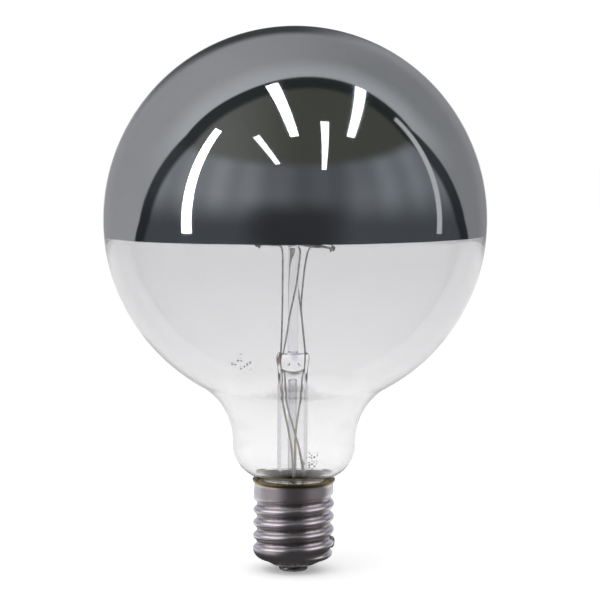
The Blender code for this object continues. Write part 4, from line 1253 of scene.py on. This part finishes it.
def make_table():
    """The table under the lamp. The cap mirrors it dark close by, and further out dark in front,
    paler on the left than on the right, and white behind. The crown mirrors it duller than the
    clear glass does."""
    table = stage_ring("studio_table", TABLE_HOLE, TABLE_REACH, TABLE_HEIGHT)
    tree, glow, rays = reflected_card(table)
    x, y, _ = direction(tree, rays["place"])
    ways = {"x": x, "y": y, "reach": length(tree, rays["place"])}
    sides = painted(tree, ways, (0.62, 0.57, 0.58), ((0.19, 0.18, 0.175), ("x", -0.35, 0.45)))
    around = painted(tree, ways, (0.05, 0.045, 0.042), (sides, ("y", -0.92, -0.60)),
                     ((0.95, 0.95, 0.97), ("y", 0.1, 0.4)))
    near = painted(tree, ways, (0.045, 0.043, 0.043), (around, ("reach", 0.03, 0.075)))
    dull = painted(tree, ways, (0.48, 0.48, 0.49), ((0.66, 0.665, 0.68), ("reach", 0.04, 0.5)))
    fill(tree, glow, {"Color": painted(tree, ways, (0.97, 0.97, 0.98), (dull, rays["crown"]),
                                       (near, rays["cap"]))})


def make_lights():
    """The bright strips that the crown mirrors, overhead and at both sides, and a large soft
    lamp overhead."""
    ceiling, tall = 2.2, 1.95
    strips = (((-0.37, -0.09), (-0.02, -1.68), 0.20, 3.2),
              ((1.01, 0.21), (1.32, -1.36), 0.20, 4.0),
              ((0.59, -1.10), (1.10, -3.30), 0.18, 2.0),
              ((-0.94, -1.52), (-0.60, -3.00), 0.18, 2.0))
    for number, (begin, end, width, radiance) in enumerate(strips, 1):
        strip_card(f"ceiling_strip_{number}", (*begin, ceiling), (*end, ceiling),
                   (0, 0, 1), width, radiance)
    for name, foot, width, radiance in (("left_strip", (-1.52, -0.72), 0.19, 5.0),
                                        ("right_strip", (1.75, 0.06), 0.13, 0.5)):
        strip_card(name, (*foot, 0.0), (*foot, tall), (*foot, 0.0), width, radiance)
    soft_lamp("overhead", (2.2, 2.2), 1.25, (-0.5, -0.6, 2.15), (0.0, 0.0, GLOBE_Z))


def make_camera():
    """The photograph's view: from the front, looking down a little, turned a third of a degree."""
    lens, distance, height, right = 129.80, 1.0576, 0.2194, 0.00254
    pitch, roll = math.radians(4.623), math.radians(0.337)
    data = bpy.data.cameras.new("camera")
    data.lens = lens
    data.sensor_width = 36.0
    data.clip_start, data.clip_end = 0.05, 50.0
    camera = bpy.data.objects.new("camera", data)
    turn = Matrix.Rotation(math.pi / 2 - pitch, 4, "X") @ Matrix.Rotation(roll, 4, "Z")
    camera.matrix_world = Matrix.Translation((right, -distance, height)) @ turn
    bpy.context.scene.collection.objects.link(camera)
    bpy.context.scene.camera = camera


def dress(thing, material, node):
    """Gives a piece its finish, and lets it stand for its CAD node."""
    thing.data.materials.append(material)
    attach(thing, "root")
    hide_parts(node)


make_camera()
SPECKS = speck_group()
HANDLED = handled_group()
# Patches in glass: the middle and half size in millimetres, the colour and the grain. The bulb's
# are dirt spatter; the mount's are painted, as told below.
SPATTER = (((-24, -64.5, 109.4), (8, 9, 7), (0.05, 0.05, 0.05), 700.0),
           ((8.2, -28.4, 57.4), (9, 7, 7), (0.04, 0.04, 0.035), 800.0),
           ((-70, -60, 130), (9, 12, 6), (0.1, 0.1, 0.1), 400.0))
# Painted into the mount's glass: two dark commas of two patches each and a dark yellow-brown band
# under the cavity's roof, as painted shade; a dark reddish patch by the left ear, a painted
# refracted image of the seal wire; a lilac dome over the press's top, in the rod's tone; and two
# grey patches low on the stem's left front.
PRESS_PAINTED_SHADE = (((-2.4, -2.9, PRESS_MM - 4.7), (0.5, 1.3, 0.6), (0.05, 0.05, 0.05), 0),
               ((-3.0, -2.9, PRESS_MM - 5.3), (0.6, 1.3, 0.5), (0.10, 0.10, 0.09), 0),
               ((1.9, -2.9, PRESS_MM - 4.7), (0.5, 1.3, 0.6), (0.05, 0.05, 0.05), 0),
               ((2.5, -2.9, PRESS_MM - 5.3), (0.6, 1.3, 0.5), (0.10, 0.10, 0.09), 0),
               ((-7.6, 0.0, PRESS_MM - 3.2), (1.9, 3.6, 3.8), (0.22, 0.11, 0.10), 0),
               ((0.0, 0.0, PRESS_MM - 9.4), (4.8, 2.3, 2.0), (0.12, 0.10, 0.05), 0),
               ((-5.0, 0.0, PRESS_MM - 8.4), (2.4, 2.3, 1.6), (0.15, 0.125, 0.06), 0),
               ((5.0, 0.0, PRESS_MM - 8.4), (2.4, 2.3, 1.6), (0.15, 0.125, 0.06), 0),
               ((0.0, 0.0, PRESS_MM - 0.8), (3.2, 4.2, 5.0), (0.68, 0.67, 0.76), 0),
               ((-6.9, -2.0, 57.0), (0.6, 3.0, 1.0), (0.3, 0.3, 0.3), 0),
               ((-6.9, -2.0, 47.5), (0.6, 3.0, 1.6), (0.3, 0.3, 0.3), 0))
# The globe's colour by height: a grey that deepens towards the crown's edge, painted shade, and
# plain glass above the edge, behind the film.
GLOBE_PAINTED_SHADE = ((0.055, (0.845, 0.845, 0.848)), (0.085, (0.83, 0.83, 0.833)),
               (0.110, (0.80, 0.798, 0.805)), (0.140, (0.785, 0.783, 0.79)),
               (CROWN_EDGE, (0.785, 0.782, 0.79)), (CROWN_EDGE + 0.3 * MM, (0.97, 0.97, 0.97)))
CLEAR = glass_finish("clear_glass", GLOBE_PAINTED_SHADE, 0.05, 24.0, SPATTER)
TUBE_GLASS = glass_finish("tube_glass", ((0.0, (0.93, 0.925, 0.945)),), 0.04, 70.0)
MOUNT_GLASS = glass_finish("mount_glass", ((0.0, (0.975, 0.972, 0.98)),), 0.04, 70.0,
                           PRESS_PAINTED_SHADE)
ROD_GLASS = glass_finish("rod_glass", ((0.0, (0.93, 0.925, 0.955)),), 0.04, 70.0)
NICKEL_PLATE = metal_finish("nickel_plate", (0.72, 0.695, 0.71), (0.60, 0.575, 0.59), 0.29, 0.37,
                            160.0, 0.000003, wear=shell_wear)
NICKEL_WIRE = metal_finish("nickel_wire", (0.46, 0.45, 0.44), (0.24, 0.23, 0.22), 0.25, 0.5,
                           300.0, metallic=0.75)
LEAD_WIRE = metal_finish("lead_wire", (0.93, 0.90, 0.74), (0.78, 0.74, 0.55), 0.35, 0.55, 260.0,
                         metallic=0.05)
SEAL_WIRE = metal_finish("seal_wire", (0.30, 0.15, 0.10), (0.12, 0.06, 0.05), 0.3, 0.5, 500.0)
TUNGSTEN = metal_finish("tungsten", (0.22, 0.15, 0.11), (0.10, 0.065, 0.05), 0.35, 0.6, 400.0)
MOLYBDENUM = metal_finish("molybdenum", (0.27, 0.26, 0.25), (0.14, 0.13, 0.13), 0.3, 0.5, 400.0)
SOLDER = metal_finish("solder", (0.30, 0.32, 0.30), (0.13, 0.145, 0.13), 0.30, 0.55, 350.0, 0.0001)
CONTACT = metal_finish("contact_metal", (0.33, 0.33, 0.33), (0.16, 0.16, 0.16), 0.28, 0.5, 330.0,
                       0.00006)

dress(screw_shell(), NICKEL_PLATE, "screw_shell")
dress(insulator(), black_glass_finish(), "insulator")
dress(centre_contact(), CONTACT, "centre_contact")
dress(side_solder(), SOLDER, "side_solder")
dress(basing_cement(), cement_finish(), "basing_cement")
dress(glass_bulb(), CLEAR, "glass_bulb")
dress(silver_crown(), mirror_finish(), "silver_crown")
dress(stem_tube(), MOUNT_GLASS, "stem_tube")
dress(exhaust_tube(), TUBE_GLASS, "exhaust_tube")
dress(arbor_rod(), ROD_GLASS, "arbor_rod")
dress(filament(), TUNGSTEN, "filament")
for number, angle in enumerate(HOOK_ANGLES, 1):
    dress(support_hook(number, angle), MOLYBDENUM, f"support_hook_{number}")
for name, thing in inner_wires().items():
    dress(thing, NICKEL_WIRE, name)
for name, side in (("seal_wire_left", -1), ("seal_wire_right", 1)):
    dress(seal_wire(name, side), SEAL_WIRE, name)
for name, thing in outer_leads().items():
    dress(thing, LEAD_WIRE, name)
for make_part in (make_white, make_floor, make_walls, make_ground, make_table, make_lights):
    make_part()
bpy.context.scene.view_settings.view_transform = "Standard"
